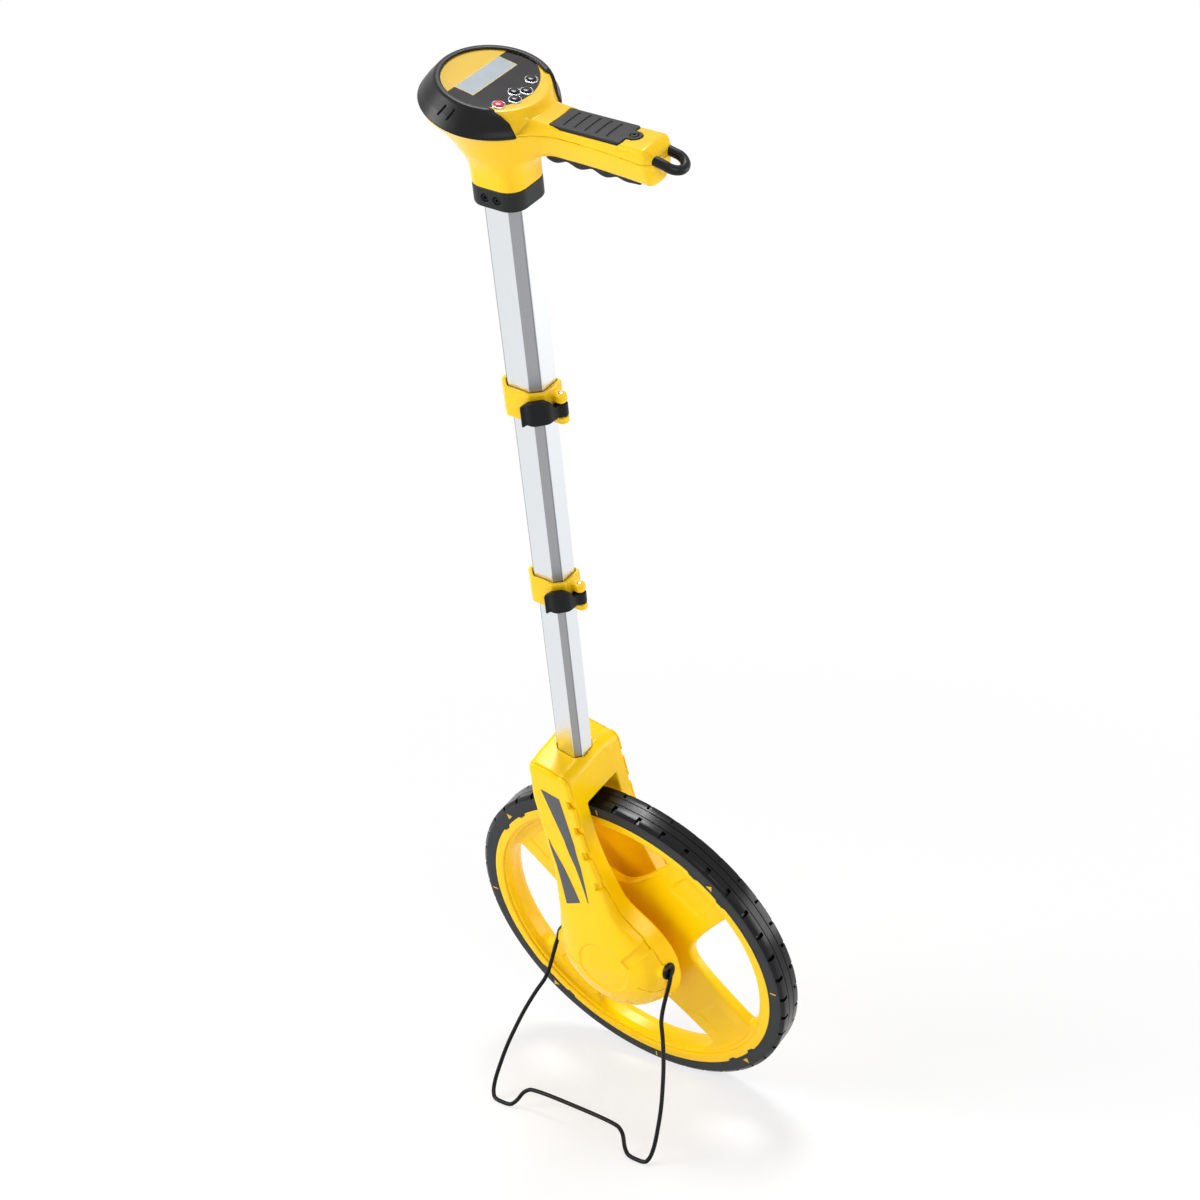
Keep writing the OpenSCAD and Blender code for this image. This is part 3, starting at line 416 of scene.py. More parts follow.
# Circuit board: green lacquer over copper, glossy with a faint weave
green_lacquer = mottled("green_solder_lacquer", "#1f5b39", "#26694a", 2, (0.25, 0.35), 0.4, 0.01)
wear(zinc_steel, "axle", "axle_nuts", "encoder_magnets")
wear(nylon, "wheel_bushes")
wear(grey_nylon, "axle_spacers", "encoder_ring")
wear(green_lacquer, "sensor_board")


# Fork
# Three mouldings of the same ABS: the crown with both inner arm halves, and a cover with a hub dome that
# snaps onto each arm along a seam. The covers' catches show as small windows down the rear edge.

arm_in = 25
arm_out = 46
arm_front = -47
arm_back = 9
arm_foot = 30
arm_draft = 0.05
front_flare = 13
back_flare = 31
crown_lean = 7
seam_y = 42
dome_r = 75
dome_seam_r = 67
dome_h = 24
far_dome_less = 13
disc_r = 30.5
disc_deep = 1.6
swell_end = (-19, 127)
swell_end_half = 34
swell_end_h = 4
slot_top = 205
ridge_half = 17.5
roof_front = 263
roof_rear = 245
roof_slopes = (0.22, 0.53)
roof_bank = 0.06
bead_x = 2
bead_w = 4
bead_h = 2.2
crown_drop = 9
socket_from = 214
socket_clear = 0.4
mast_rake = Vector(joints["middle_slide"]["axis"]).angle(upright.col[2])
mast_offset = 55.8
stand_y = -40
stand_z = 3
boss_r = 10.5
boss_face = 69.4
tube_half = [(16, 14.5), (18, 16.5), (20, 18.5)]
tube_chamfer = [6.5, 7.67, 8.84]


def octagon(u, v, half, chamfer, round_mm):
    """Distance from the eight-sided outline of a tube or a clamp"""
    box = trimmed(abs(u) - half[0], abs(v) - half[1], round_mm)
    return trimmed(box, (abs(u) + abs(v) - half[0] - half[1] + chamfer) / sqrt(2), round_mm)


def eased(value, start, end):
    """A smooth step from 0 at start to 1 at end"""
    share = np.clip((value - start) / (end - start), 0, 1)
    return share * share * (3 - 2 * share)


def arm_front_x(z):
    flare = front_flare * np.maximum((135 - z) / 112.5, 0) ** 1.8
    return arm_front - flare + crown_lean * eased(z, slot_top, 262)


def arm_back_x(z):
    return arm_back + back_flare * np.maximum((165 - z) / 125, 0) ** 1.65


def cover_height(x, z, less=0):
    """How far the cover's outer face stands from the wheel's middle: flat on the arm, swelling to the dome"""
    run_x, run_z = swell_end
    share = np.clip((x * run_x + z * run_z) / (run_x ** 2 + run_z ** 2), 0, 1)
    off = np.hypot(x - share * run_x, z - share * run_z)
    wide = dome_seam_r - less + (swell_end_half - dome_seam_r + less) * share
    high = dome_h + (swell_end_h - dome_h) * share
    swell = seam_y + high * np.sqrt(np.maximum(1 - (off / wide) ** 3, 0.001))
    disc = disc_deep / (1 + np.exp(np.clip((np.hypot(x, z) - disc_r) / 0.35, -50, 50)))
    return -joined(-arm_out, -swell, 8) - disc


def fork_body(x, y, z):
    # Factors below one keep the distance from a slanted face close to true
    side = abs(y)
    draft = np.maximum(side - arm_in, 0)
    # The dome on the far arm is the smaller one
    less = np.where(y > 0, far_dome_less, 0)
    arm = trimmed(arm_front_x(z) - x, x - arm_back_x(z), 2)
    arm = trimmed(arm, arm_foot - z, 12) + arm_draft * draft
    dome = np.hypot(x, z) - dome_r + less + draft * (dome_r - dome_seam_r) / (seam_y - arm_in)
    outline = joined(arm, dome, 16)
    # The roof falls gently to the rear, more steeply behind the tube, and away to the far side.
    # A round bead runs along its rear edge.
    higher = roof_bank * (y - stand_y)
    ahead = z - roof_front + roof_slopes[0] * (x - arm_front) - higher
    behind = z - roof_rear + roof_slopes[1] * (x - arm_back) - higher
    roof = trimmed(ahead, behind, 6) + np.maximum(y - ridge_half, 0) * crown_drop / (seam_y - ridge_half)
    roof = (roof - bead_h * np.exp(-((x - bead_x) / bead_w) ** 2)) * 0.8
    body = trimmed(outline, (side - cover_height(x, z, less)) * 0.85, 5)
    body = trimmed(body, roof, 6)
    # A round boss each side takes the stand's bushing
    boss = trimmed(np.hypot(y - stand_y, z - stand_z) - boss_r, abs(x) - boss_face, 1.5)
    return joined(body, boss, 5)


def fork_form(x, y, z):
    slot = trimmed(abs(y) - arm_in, z - slot_top, 2)
    body = cut(fork_body(x, y, z), slot, 2)
    across = x * cos(mast_rake) - z * sin(mast_rake) + mast_offset
    along = x * sin(mast_rake) + z * cos(mast_rake)
    hole = octagon(across, y, tube_half[0], tube_chamfer[0], 1.5) - socket_clear
    socket = trimmed(hole, socket_from - along, 1)
    return cut(body, socket, 1)


seam_gap = 0.12
catch_z = [216, 181, 147, 109]
catch_w = 8.5
catch_h = 10
catch_deep = 3
notch_off = 11.7
notch_half = 6.3
notch_from = 33.5
notch_deep = 2.2
line_half = 0.9
line_deep = 1.3


def frame_form(x, y, z):
    return trimmed(fork_form(x, y, z), abs(y) - seam_y + seam_gap, 1.2)


def fine_line(out, over, through, fall, run):
    """A straight line through a point, falling by a share, along a run outward"""
    middle, half = (run[0] + run[1]) / 2, (run[1] - run[0]) / 2
    slant = over - through[1] + fall * (out - through[0])
    return trimmed(abs(slant) - line_half, abs(out - middle) - half, 0.5)


def cover_form(x, y, z):
    body = fork_form(x, y, z)
    cover = trimmed(body, seam_y + seam_gap - abs(y), 1.2)
    # Windows of the catches, across the rear corner
    for at_z in catch_z:
        window = trimmed(arm_back_x(at_z) - catch_w - x, abs(z - at_z) - catch_h / 2, 0.6)
        cover = cut(cover, trimmed(window, -catch_deep - body, 0.6), 0.6)
    # A broad notch and two fine lines run out over the dome
    out, over = (x + z) / sqrt(2), (x - z) / sqrt(2) - notch_off
    notch = trimmed(abs(over) - notch_half, notch_from - out, 1.5)
    lines = np.minimum(fine_line(x, z, (42, -13.7), 0.54, (42, 62)),
                       fine_line(z, x, (-41.8, 19.1), 0.69, (-60, -42)))
    cover = cut(cover, trimmed(notch, -notch_deep - body, 0.8), 0.6)
    return cut(cover, trimmed(lines, -line_deep - body, 0.5), 0.4)


fork_frame_mesh = moulded(frame_form, (-80, -44, -80), (80, 44, 272), 1.5, machine)
fitted("fork_moulding", fork_frame_mesh, yellow_abs, "fork", "yellow_plastic", "fork_frame")
near_cover_mesh = moulded(cover_form, (-76, -70, -72), (76, -40, 272), 1, machine)
fitted("near_arm_moulding", near_cover_mesh, yellow_abs, "fork", "yellow_plastic", "near_arm_cover")
far_cover_mesh = moulded(cover_form, (-72, 40, -72), (72, 70, 272), 1.4, machine)
fitted("far_arm_moulding", far_cover_mesh, yellow_abs, "fork", "yellow_plastic", "far_arm_cover")


# Arm stripes
# Two wedges of dark grey film on the near arm, cut from thin vinyl.
# They are stuck on and follow the cover's swell.

# Vinyl film: charcoal, satin and even
grey_vinyl = mottled("charcoal_vinyl_film", "#4a4d52", "#44474b", 20, (0.36, 0.44), 0.8, 0.006)
upper_wedge = [(-30, 229), (-8, 222), (-3.5, 84), (-4.5, 84)]
lower_wedge = [(-41, 157), (-40, 157), (-15, 81), (-35.5, 72.5)]
film_t = 0.18


def film(corners, rows_of, columns_of):
    """Points and faces of a film between four corners, sunk onto the near cover from outside it"""
    down, over = np.meshgrid(np.linspace(0, 1, rows_of + 1), np.linspace(0, 1, columns_of + 1), indexing="ij")
    down, over = down[..., None], over[..., None]
    a, b, c, d = (np.array(corner, float) for corner in corners)
    spread = (1 - down) * ((1 - over) * a + over * b) + down * ((1 - over) * d + over * c)
    x, z = spread[..., 0], spread[..., 1]
    y = -cover_height(x, z) - 3
    for sinking in range(30):
        y = y + np.maximum(fork_body(x, y, z) - film_t, -0.5) * 0.9
    return swept(np.stack([x, y, z], 2).tolist(), False, False)


for name, corners in (("upper_stripe", upper_wedge), ("lower_stripe", lower_wedge)):
    points, faces = film(corners, 48, 8)
    fitted(name, meshed(points, faces, machine), grey_vinyl, "fork", "black_plastic")


# Stand
# One bent steel wire with a black vinyl coat. Its ends turn in two black bushings in the fork's bosses,
# and its crossbar has a hook at each foot.

wire_r = 2.25
pin_end = 67.3
leg_x = 75.5
leg_len = 195
foot_x = 106
stand_angle = radians(45.3)
stand_pivot = Vector((0, stand_y, stand_z))
half_route = [
    (pin_end, 0), (leg_x, 0), (leg_x, 0.25 * leg_len),
    (leg_x + 0.33 * (foot_x - leg_x), 0.36 * leg_len), (leg_x + 0.64 * (foot_x - leg_x), 0.5 * leg_len),
    (leg_x + 0.94 * (foot_x - leg_x), 0.7 * leg_len), (foot_x + 1.5, 0.88 * leg_len),
    (foot_x + 0.5, 0.955 * leg_len), (foot_x - 4, leg_len), (foot_x - 26, leg_len),
    (foot_x - 33, 0.965 * leg_len), (foot_x - 39, 0.9 * leg_len), (foot_x - 50, 0.865 * leg_len)]


def bent(route, steps, share):
    """A route with each corner drawn as a short curve"""
    points = [Vector(route[0])]
    for before, corner, after in zip(route, route[1:], route[2:]):
        start = Vector(corner).lerp(Vector(before), share)
        end = Vector(corner).lerp(Vector(after), share)
        for i in range(steps + 1):
            t = i / steps
            points.append(start.lerp(Vector(corner), t).lerp(Vector(corner).lerp(end, t), t))
    return points + [Vector(route[-1])]


def bar(points, r, place, finish, name, body, slot, *nodes):
    """A round bar along points, as a curve with a round section"""
    curve = bpy.data.curves.new(name, "CURVE")
    curve.dimensions = "3D"
    curve.bevel_depth = r * mm
    curve.bevel_resolution = 5
    curve.use_fill_caps = True
    line = curve.splines.new("POLY")
    line.points.add(len(points) - 1)
    for spot, point in zip(line.points, points):
        spot.co = (*(place @ Vector(point)), 1)
    line.use_smooth = True
    return fitted(name, curve, finish, body, slot, *nodes)


# Vinyl dip coat: black, half glossy, slightly uneven where it ran
dipped_vinyl = mottled("black_dipped_vinyl", "#0c0c0d", "#131314", 12, (0.28, 0.42), 3, 0.03,
                       Specular_IOR_Level=0.15)
whole_route = half_route + [(-x, d) for x, d in half_route[::-1]]
flat_route = bent(whole_route, 8, 0.4)
stand_points = [stand_pivot + Vector((p.x, -p.y * sin(stand_angle), -p.y * cos(stand_angle)))
                for p in flat_route]
bar(stand_points, wire_r, machine, dipped_vinyl, "stand_wire", "stand", "coated_wire", "stand")

# Black acetal: slippery, satin bushings
black_acetal = mottled("black_acetal", "#0d0d0e", "#131314", 6, (0.28, 0.38), 0.5, 0.01,
                       Specular_IOR_Level=0.2)


def turned(profile, place, finish, name, body, slot, *names, steps=48):
    """A turned piece: radius and height pairs swept round the place's own upright axis"""
    rows = [[(r * cos(2 * pi * i / steps), r * sin(2 * pi * i / steps), h) for i in range(steps)]
            for r, h in profile]
    points, faces = swept(rows, False)
    count = len(points)
    points += [(0, 0, profile[0][1]), (0, 0, profile[-1][1])]
    last = count - steps
    faces += [(count, (i + 1) % steps, i) for i in range(steps)]
    faces += [(count + 1, last + i, last + (i + 1) % steps) for i in range(steps)]
    return fitted(name, meshed(points, faces, place, 32), finish, body, slot, *names)


grommet = [(5, -8), (5, 0), (8.8, 0), (9.3, 0.5), (9.3, 2.4), (8.4, 3.4), (5, 3.5), (3.6, 2.8), (2.4, 1.2)]
for side, name in ((1, "rear"), (-1, "front")):
    outward = Matrix.Translation((side * boss_face, stand_y, stand_z))
    outward = machine @ outward @ Matrix.Rotation(side * pi / 2, 4, "Y")
    replaced = ["stand_bushings"] if side > 0 else []
    turned(grommet, outward, black_acetal, f"stand_grommet_{name}", "fork", "black_plastic", *replaced)


# Mast tubes
# Three drawn aluminium tubes of eight sides, each sliding in the next, with a satin clear anodised skin.
# The broad flats are bright, and the four slanted ones carry painted shade, a darker grey for the dimmer
# light they reflect, with a fine groove beside each.

mast = machine @ Matrix.Rotation(mast_rake, 4, "Y") @ Matrix.Translation((-mast_offset, 0, 0))
tube_ends = [(212.64, 529), (469, 746), (686, 931)]
tube_wall = 1.5
groove_deep = 0.5

# Anodised aluminium: pale and satin, with lines along the draw
anodised = bright_metal("satin_anodised_aluminium", "#eceff2", "#dde1e5", (0.26, 0.36), 0.5, (1, 1, 0.02))
# The slanted flats: a darker grey that is painted shade, standing in for the dimmer light they reflect, and
# duller in gloss
shade_painted_aluminium = bright_metal("aluminium_painted_shade", "#a9abad", "#9a9c9f", (0.4, 0.5), 0.5, (1, 1, 0.02))


def tube_section(half, chamfer):
    """The outline of a tube: flats with soft corners, and a groove at the inner end of each slanted flat"""
    a, b = half
    start, end = Vector((a, b - chamfer)), Vector((a - chamfer, b))
    along = (end - start).normalized()
    inward = Vector((-1, -1)).normalized()
    groove = [(0.6, 0), (1.2, 0), (1.35, groove_deep), (1.75, groove_deep), (1.9, 0)]
    slant = [start + run * along + deep * inward for run, deep in groove] + [end - 0.6 * along]
    quarter = [(a, b - chamfer - 0.9), (a, b - chamfer - 0.25)] + [tuple(p) for p in slant]
    quarter += [(a - chamfer - 0.25, b), (a - chamfer - 0.9, b)]
    points = list(quarter)
    points += [(-x, y) for x, y in quarter[::-1]]
    points += [(-x, -y) for x, y in quarter]
    points += [(x, -y) for x, y in quarter[::-1]]
    return points


tube_names = [("lower_tube", "fork"), ("middle_tube", "middle_mast"), ("upper_tube", "upper_mast")]
for (name, body), half, chamfer, (low, top) in zip(tube_names, tube_half, tube_chamfer, tube_ends):
    outer = tube_section(half, chamfer)
    inner = [(x * (half[0] - tube_wall) / half[0], y * (half[1] - tube_wall) / half[1]) for x, y in outer]
    rings = ((inner, low), (outer, low), (outer, top), (inner, top))
    rows = [[(x, y, s) for x, y in ring] for ring, s in rings]
    points, faces = swept(rows, True)
    tube = fitted(f"{name}_drawn", meshed(points, faces, mast, 25), anodised, body, "tube_aluminium", name)
    # The slanted flats wear the second finish, the darker grey of painted shade
    tube.data.materials.append(shade_painted_aluminium)
    slanted = [abs(abs(x) - half[0]) > 0.2 and abs(abs(y) - half[1]) > 0.2 for x, y in outer]
    count = len(outer)
    on_slant = [count <= i < 2 * count and slanted[i % count] and slanted[(i + 1) % count]
                for i in range(len(faces))]
    tube.data.polygons.foreach_set("material_index", np.array(on_slant, dtype=np.int32))
wear(black_acetal, "tube_plug", "lower_tube_guide", "middle_tube_guide")
wear(zinc_steel, "crown_bolt")


# Clamps
# A collar of yellow ABS at the foot of each sliding tube, with two knuckles behind. A steel pin through them
# carries a black lever that wraps the near corner and squeezes the collar shut.

clamp_s = [451, 668]
clamp_h = 31
clamp_wall = 5
band_thin = 1.2
rear_fall = 1.5
far_fall = 9
lug_r = 5.5
low_lug_h = 7
high_lug_h = 10
lug_down = 5
pin_hole_r = 2.3
lever_clear = 0.6
lever_t = 6
lever_top = 26
lever_foot = 3.2
knuckle_drop = 10.6
tip_slant = 4.5
tip_hook = 3.6
ridge_h = 1.3

# Satin ABS of the mast and head: a deeper, golden yellow with a finely etched skin
golden_abs = mottled("satin_golden_abs", "#fdce15", "#f9c610", 40, (0.2, 0.28), 0.8, 0.004,
                     Specular_IOR_Level=0.28)
# Lever nylon: black, satin
lever_nylon = mottled("black_lever_nylon", "#101113", "#17181a", 10, (0.3, 0.42), 0.6, 0.015,
                      Specular_IOR_Level=0.15)

for i, (name, body) in enumerate((("lower", "middle_mast"), ("upper", "upper_mast"))):
    clamp_half = [half + clamp_wall for half in tube_half[i + 1]]
    clamp_cut = tube_chamfer[i + 1] + 2
    pin_u = clamp_half[0] + lug_r + 0.8
    clamp_place = mast @ Matrix.Translation((0, 0, clamp_s[i]))

    def clamp_form(u, v, t):
        band = octagon(u, v, clamp_half, clamp_cut, 1.5) + band_thin
        # The upper edge falls a little behind the lever's corner, and lies lower on the far side
        fall = rear_fall * eased(u, 4, 24) + far_fall * eased(v, 11, 21)
        band = trimmed(band, np.maximum(t - clamp_h + fall, -t) * 0.9, 1.2)
        knuckle = np.hypot(np.maximum(u - pin_u, 0) + np.minimum(u - clamp_half[0] + 3, 0), v) - lug_r
        up = t + lug_down
        lugs = np.minimum(trimmed(knuckle, abs(up - low_lug_h / 2) - low_lug_h / 2, 2),
                          trimmed(knuckle, abs(up - clamp_h + high_lug_h / 2) - high_lug_h / 2, 4))
        clamp = joined(band, lugs, 3)
        clamp = cut(clamp, octagon(u, v, tube_half[i + 1], tube_chamfer[i + 1], 1) - 0.9, 0.8)
        return cut(clamp, np.hypot(u - pin_u, v) - pin_hole_r, 0.6)

    clamp_low = (-clamp_half[0] - 4, -clamp_half[1] - 4, -8)
    clamp_high = (pin_u + 9, clamp_half[1] + 4, clamp_h + 3)
    clamp_mesh = moulded(clamp_form, clamp_low, clamp_high, 0.7, clamp_place)
    fitted(f"{name}_clamp_moulding", clamp_mesh, golden_abs, body, "yellow_plastic", f"{name}_clamp")
    pin = [(0.8, -0.3), (1.8, -0.1), (2.1, 0.3),
           (2.1, clamp_h - 0.2), (1.9, clamp_h + 0.3), (0.9, clamp_h + 0.6)]
    pin_place = clamp_place @ Matrix.Translation((pin_u, 0, -lug_down))
    turned(pin, pin_place, zinc_steel, f"{name}_pin_turned", body, "steel", f"{name}_lever_pin", steps=24)

    inside = [half + lever_clear for half in clamp_half]
    outside = [half + lever_t for half in inside]
    tip_u = 0.32 * inside[0]

    def lever_form(u, v, t):
        # A thumb ridge stands along the tip, and the back edge is left plain
        ridge = ridge_h * np.exp(-((u - tip_u - 2) / 1.8) ** 2)
        outer = octagon(u, v + ridge, outside, clamp_cut, 2.5)
        wrap = trimmed(outer, -octagon(u, v, inside, clamp_cut, 1), 0.8)
        wrap = trimmed(trimmed(wrap, tip_u - u, 1.5), v + 1, 1)
        wrap = joined(wrap, np.hypot(u - pin_u, v) - lug_r, 3)
        # Tall at the tip with a slanted upper corner and a hook below, narrow between the knuckles
        narrow = eased(v, -17, -8)
        tip = eased(-u, -tip_u - 7, -tip_u)
        top = lever_top - knuckle_drop * narrow - tip_slant * tip
        foot = lever_foot - 0.8 * narrow - tip_hook * tip
        lever = trimmed(wrap, np.maximum(t - top, foot - t) * 0.85, 1.5)
        # A fine wavy groove runs along its outer face
        line = trimmed(np.hypot(t - 6.5 - np.cos((u - tip_u) / 4), outer) - 0.7, abs(u - tip_u - 9) - 5, 0.5)
        lever = cut(lever, line, 0.4)
        return cut(lever, np.hypot(u - pin_u, v) - pin_hole_r, 0.4)

    lever_mesh = moulded(lever_form, (tip_u - 3, -outside[1] - 4, -3), (pin_u + 9, 9, 31), 0.7, clamp_place)
    lever_name = f"{name}_lever"
    fitted(f"{name}_lever_moulding", lever_mesh, lever_nylon, lever_name, "black_plastic", lever_name)


# Head collar
# A black nylon collar that squeezes the top of the upper tube, flush under the neck, with two cap screws
# sunk in its near face.

collar_s = 879
collar_h = 18
collar_half = (26, 24.5)
collar_round = 16
collar_screw_u = [-6, 6]
screw_head_r = 3.1
screw_hole_r = 3.7
screw_sunk = 2.6

# Satin black nylon with a fine spark-eroded grain
collar_nylon = mottled("grained_black_nylon", "#1d1e1f", "#252627", 9, (0.4, 0.52), 0.7, 0.02,
                       Specular_IOR_Level=0.2)


def rounded_block(u, v):
    across, beside = abs(u) - collar_half[0] + collar_round, abs(v) - collar_half[1] + collar_round
    outside = np.hypot(np.maximum(across, 0), np.maximum(beside, 0))
    return outside + np.minimum(np.maximum(across, beside), 0) - collar_round


def collar_form(u, v, s):
    collar = trimmed(rounded_block(u, v), abs(s - collar_s - collar_h / 2) - collar_h / 2, 1.6)
    collar = cut(collar, octagon(u, v, tube_half[2], tube_chamfer[2], 1) - 0.3, 0.5)
    for at_u in collar_screw_u:
        hole = np.hypot(u - at_u, s - collar_s - collar_h / 2) - screw_hole_r
        collar = cut(collar, trimmed(hole, v + collar_half[1] - screw_sunk, 0.6), 0.6)
    return collar


collar_mesh = moulded(collar_form, (-30, -28, collar_s - 3), (30, 28, collar_s + collar_h + 3), 0.9, mast)
fitted("head_collar_moulding", collar_mesh, collar_nylon, "upper_mast", "black_plastic", "head_collar")
socket_screw = [(screw_head_r, -3), (screw_head_r, 1.2), (2.7, 1.7),
                (1.7, 1.8), (1.5, 1.4), (1.4, 0.2), (0.6, 0.1)]
# Blackened steel of the cap screws: dark, with a soft shine
black_steel = bright_metal("blackened_steel", "#3a3b3d", "#2c2d2f", (0.28, 0.38), 0.6, (1, 1, 1))
for at_u in collar_screw_u:
    name = "rear" if at_u > 0 else "front"
    sunk = mast @ Matrix.Translation((at_u, screw_sunk - collar_half[1], collar_s + collar_h / 2))
    sunk = sunk @ Matrix.Rotation(pi / 2, 4, "X")
    replaced = ["collar_screws"] if at_u > 0 else []
    turned(socket_screw, sunk, black_steel, f"collar_screw_{name}", "upper_mast", "steel", *replaced,
           steps=24)


# Head shells
# Neck, pod and handle in two shells of golden ABS that meet under the bumper and along the handle's sides.
# The neck flares like a horn, the pod's back falls into a saddle, and the handle's end is bevelled.

face_s = 982.5
face_u = -2
face_tilt = radians(10.5)
pod_r = 45.5
pod_depth = 19
pod_swell = 12.5
shoulder = radians(62)
neck_s = collar_s + collar_h
neck_r = 28.7
neck_top_r = 58
handle_mid = 956
handle_top = 965
handle_low = 932
handle_end = 156.5
handle_half = 18.3
handle_swell = 1.5
keel_half = 17.3
end_bevel = 6.5
shell_gap = 0.05
cover_from = 60.5
cover_to = 127
cover_half_w = 15.4
tab_u = 131
tab_r = 6.5
face = mast @ Matrix.Translation((face_u, 0, face_s)) @ Matrix.Rotation(face_tilt, 4, "Y")


def on_face(u, s):
    """Distance along the face toward the handle, and height above the face"""
    back, up = u - face_u, s - face_s
    return back * cos(face_tilt) - up * sin(face_tilt), back * sin(face_tilt) + up * cos(face_tilt)


def droop(u):
    """How far the handle's seam and underside sink toward its end"""
    return 3 * np.clip((u - 85) / 65, 0, 1.3) ** 1.5


def camber(v):
    """How far the handle's top falls away from its middle line"""
    return (v / 18) ** 2


def tuck(a, v):
    """How far the pod and its bumper draw in toward the handle"""
    return 5 * eased(-np.degrees(np.arctan2(abs(v), a)), -85, -40)


def seam_s(u):
    """Height of the seam: along the handle's sides, then under the pod"""
    under_pod = face_s - (pod_depth + (u - face_u) * sin(face_tilt)) / cos(face_tilt)
    return np.maximum(handle_mid - droop(u), under_pod)


def lid_plan(u, v):
    """Outline of the battery lid: a hollow front edge, round corners and a tab at the rear"""
    front = cover_from + 1.6 * (1 - (v / cover_half_w) ** 2) - u
    plan = trimmed(trimmed(front, u - cover_to, 2), abs(v) - cover_half_w, 3)
    tab = trimmed(np.hypot(np.maximum(u - tab_u, 0), v) - tab_r, cover_to - 4 - u, 1)
    return joined(plan, tab, 2)


def head_form(u, v, s):
    a, h = on_face(u, s)
    from_face = np.hypot(a, v)
    rise = np.clip((s - neck_s) / (face_s - pod_depth - neck_s), 0, 1)
    flare = (neck_top_r - neck_r - tuck(a, v)) * rise ** 2.05
    horn = (np.hypot(u - face_u * rise, v) - neck_r - flare) * 0.85
    neck = rounded_block(u, v) + (horn - rounded_block(u, v)) * eased(rise, 0, 0.55)
    neck = trimmed(trimmed(neck, neck_s - s, 1), h + pod_depth, 1)
    # The handle is widest along its seam and slopes in above and below it
    level = s + droop(u)
    down = handle_mid - level
    half_w = handle_half + handle_swell * eased(u, 100, handle_end)
    upper = (abs(v) - half_w - down * 2.3 / 9) * 0.96
    lower = abs(v) - half_w + down * 0.1
    keel = (abs(v) - keel_half + (down - 10) * 6.5 / 14) * 0.91
    handle = trimmed(trimmed(upper, lower, 2), keel, 8)
    handle = trimmed(trimmed(handle, s - handle_top - 0.3 + camber(v), 3), handle_low - level, 8)
    # The end is bevelled all round
    beyond = u - handle_end
    bevel = (np.maximum(handle, -20) + beyond + end_bevel) / sqrt(2)
    handle = trimmed(trimmed(trimmed(handle, beyond, 1.5), bevel, 2), 20 - u, 5)
    core = trimmed(trimmed(from_face - pod_r + 0.2, h, 2.5), -pod_depth - h, 1)
    # Behind the bumper's ends the pod swells into the handle
    swell = (pod_swell - tuck(a, v)) * np.clip((-h - 1) / 18, 0, 1.2) ** 1.25
    slope = (from_face - pod_r - 0.5 - swell) * 0.82
    back = trimmed(trimmed(slope, h + 0.1, 5), abs(v) * cos(shoulder) - a * sin(shoulder), 2)
    pod = trimmed(joined(core, trimmed(back, -pod_depth - h, 1), 3), h, 1.2)
    body = np.minimum(joined(neck, handle, 24), joined(pod, handle, 10))
    return cut(body, trimmed(lid_plan(u, v) - 0.3, handle_top - 2 - s, 0.4), 0.4)


def lower_shell_form(u, v, s):
    shell = trimmed(head_form(u, v, s), s - seam_s(u) + shell_gap, 0.5)
    # The upper tube stands in a socket in the neck
    hole = octagon(u, v, tube_half[2], tube_chamfer[2], 1) - 0.2
    return cut(shell, trimmed(hole, s - tube_ends[2][1] - 0.5, 0.5), 0.5)


def upper_shell_form(u, v, s):
    return trimmed(head_form(u, v, s), seam_s(u) + shell_gap - s, 0.5)


lower_shell_mesh = moulded(lower_shell_form, (-64, -62, neck_s - 3), (handle_end + 3, 62, 978), 1.15, mast)
fitted("lower_shell_moulding", lower_shell_mesh, golden_abs, "upper_mast", "yellow_plastic", "lower_shell")
upper_shell_mesh = moulded(upper_shell_form, (-52, -60, 946), (handle_end + 3, 60, 996), 1, mast)
fitted("upper_shell_moulding", upper_shell_mesh, golden_abs, "upper_mast", "yellow_plastic", "upper_shell")
wear(zinc_steel, "shell_screws")


# Bumper
# A soft black rubber ring pulled over the pod. It stops short of the handle with a curved edge each side,
# and a raised lip keeps the face off the ground.

bumper_lip = 2.2
lip_lap = 3.5
groove_h = -7
groove_lean = 0.45
groove_angles = [-101.5, -91.5]
# The flank's radius, and the angle of each end, by height above the face
bumper_heights = [-30, -21, -17, -8.5, 0, 1.6, 12]
bumper_radii = [58.5, 59.3, 60, 54.8, 48.6, 47.4, 40]
end_heights = [-19, -17, -9, -3.5, 0, 2.2]
end_angles = [33, 34, 38, 45, 51, 57]
# Rubber of the bumper: black with a dry, finely grained skin
bumper_rubber = mottled("grained_black_rubber", "#0e0e0f", "#151516", 16, (0.3, 0.42), 0.7, 0.015,
                        Specular_IOR_Level=0.2)


def bumper_form(a, v, h):
    r, angle = np.hypot(a, v), np.degrees(np.arctan2(v, a))
    drawn_in = tuck(a, v)
    flank = (r - np.interp(h, bumper_heights, bumper_radii) + drawn_in * eased(-h, -2, 14)) * 0.8
    # The lip laps over the pod's rim onto the edge of the face
    inner_r = pod_r + 0.05 - lip_lap * eased(h, -0.2, 0.3)
    ring = trimmed(trimmed(flank, inner_r - r, 0.8), h - bumper_lip, 1.6)
    ring = trimmed(ring, -pod_depth + 0.1 - 0.4 * drawn_in - h, 1.5)
    ends = (np.interp(h, end_heights, end_angles) - abs(angle)) * r * pi / 180
    ring = trimmed(ring, ends, 1.5)
    # Two short slanted grooves near the front
    for at_angle in groove_angles:
        lean = (angle - at_angle - groove_lean * (h - groove_h)) * r * pi / 180
        groove = trimmed(abs(lean) - 0.7, abs(h - groove_h) - 4, 0.5)
        ring = cut(ring, trimmed(groove, -1.2 - flank, 0.5), 0.5)
    return ring


bumper_mesh = moulded(bumper_form, (-63, -63, -25), (56, 63, 5), 0.9, face)
fitted("bumper_rubber_ring", bumper_mesh, bumper_rubber, "upper_mast", "black_rubber", "bumper")


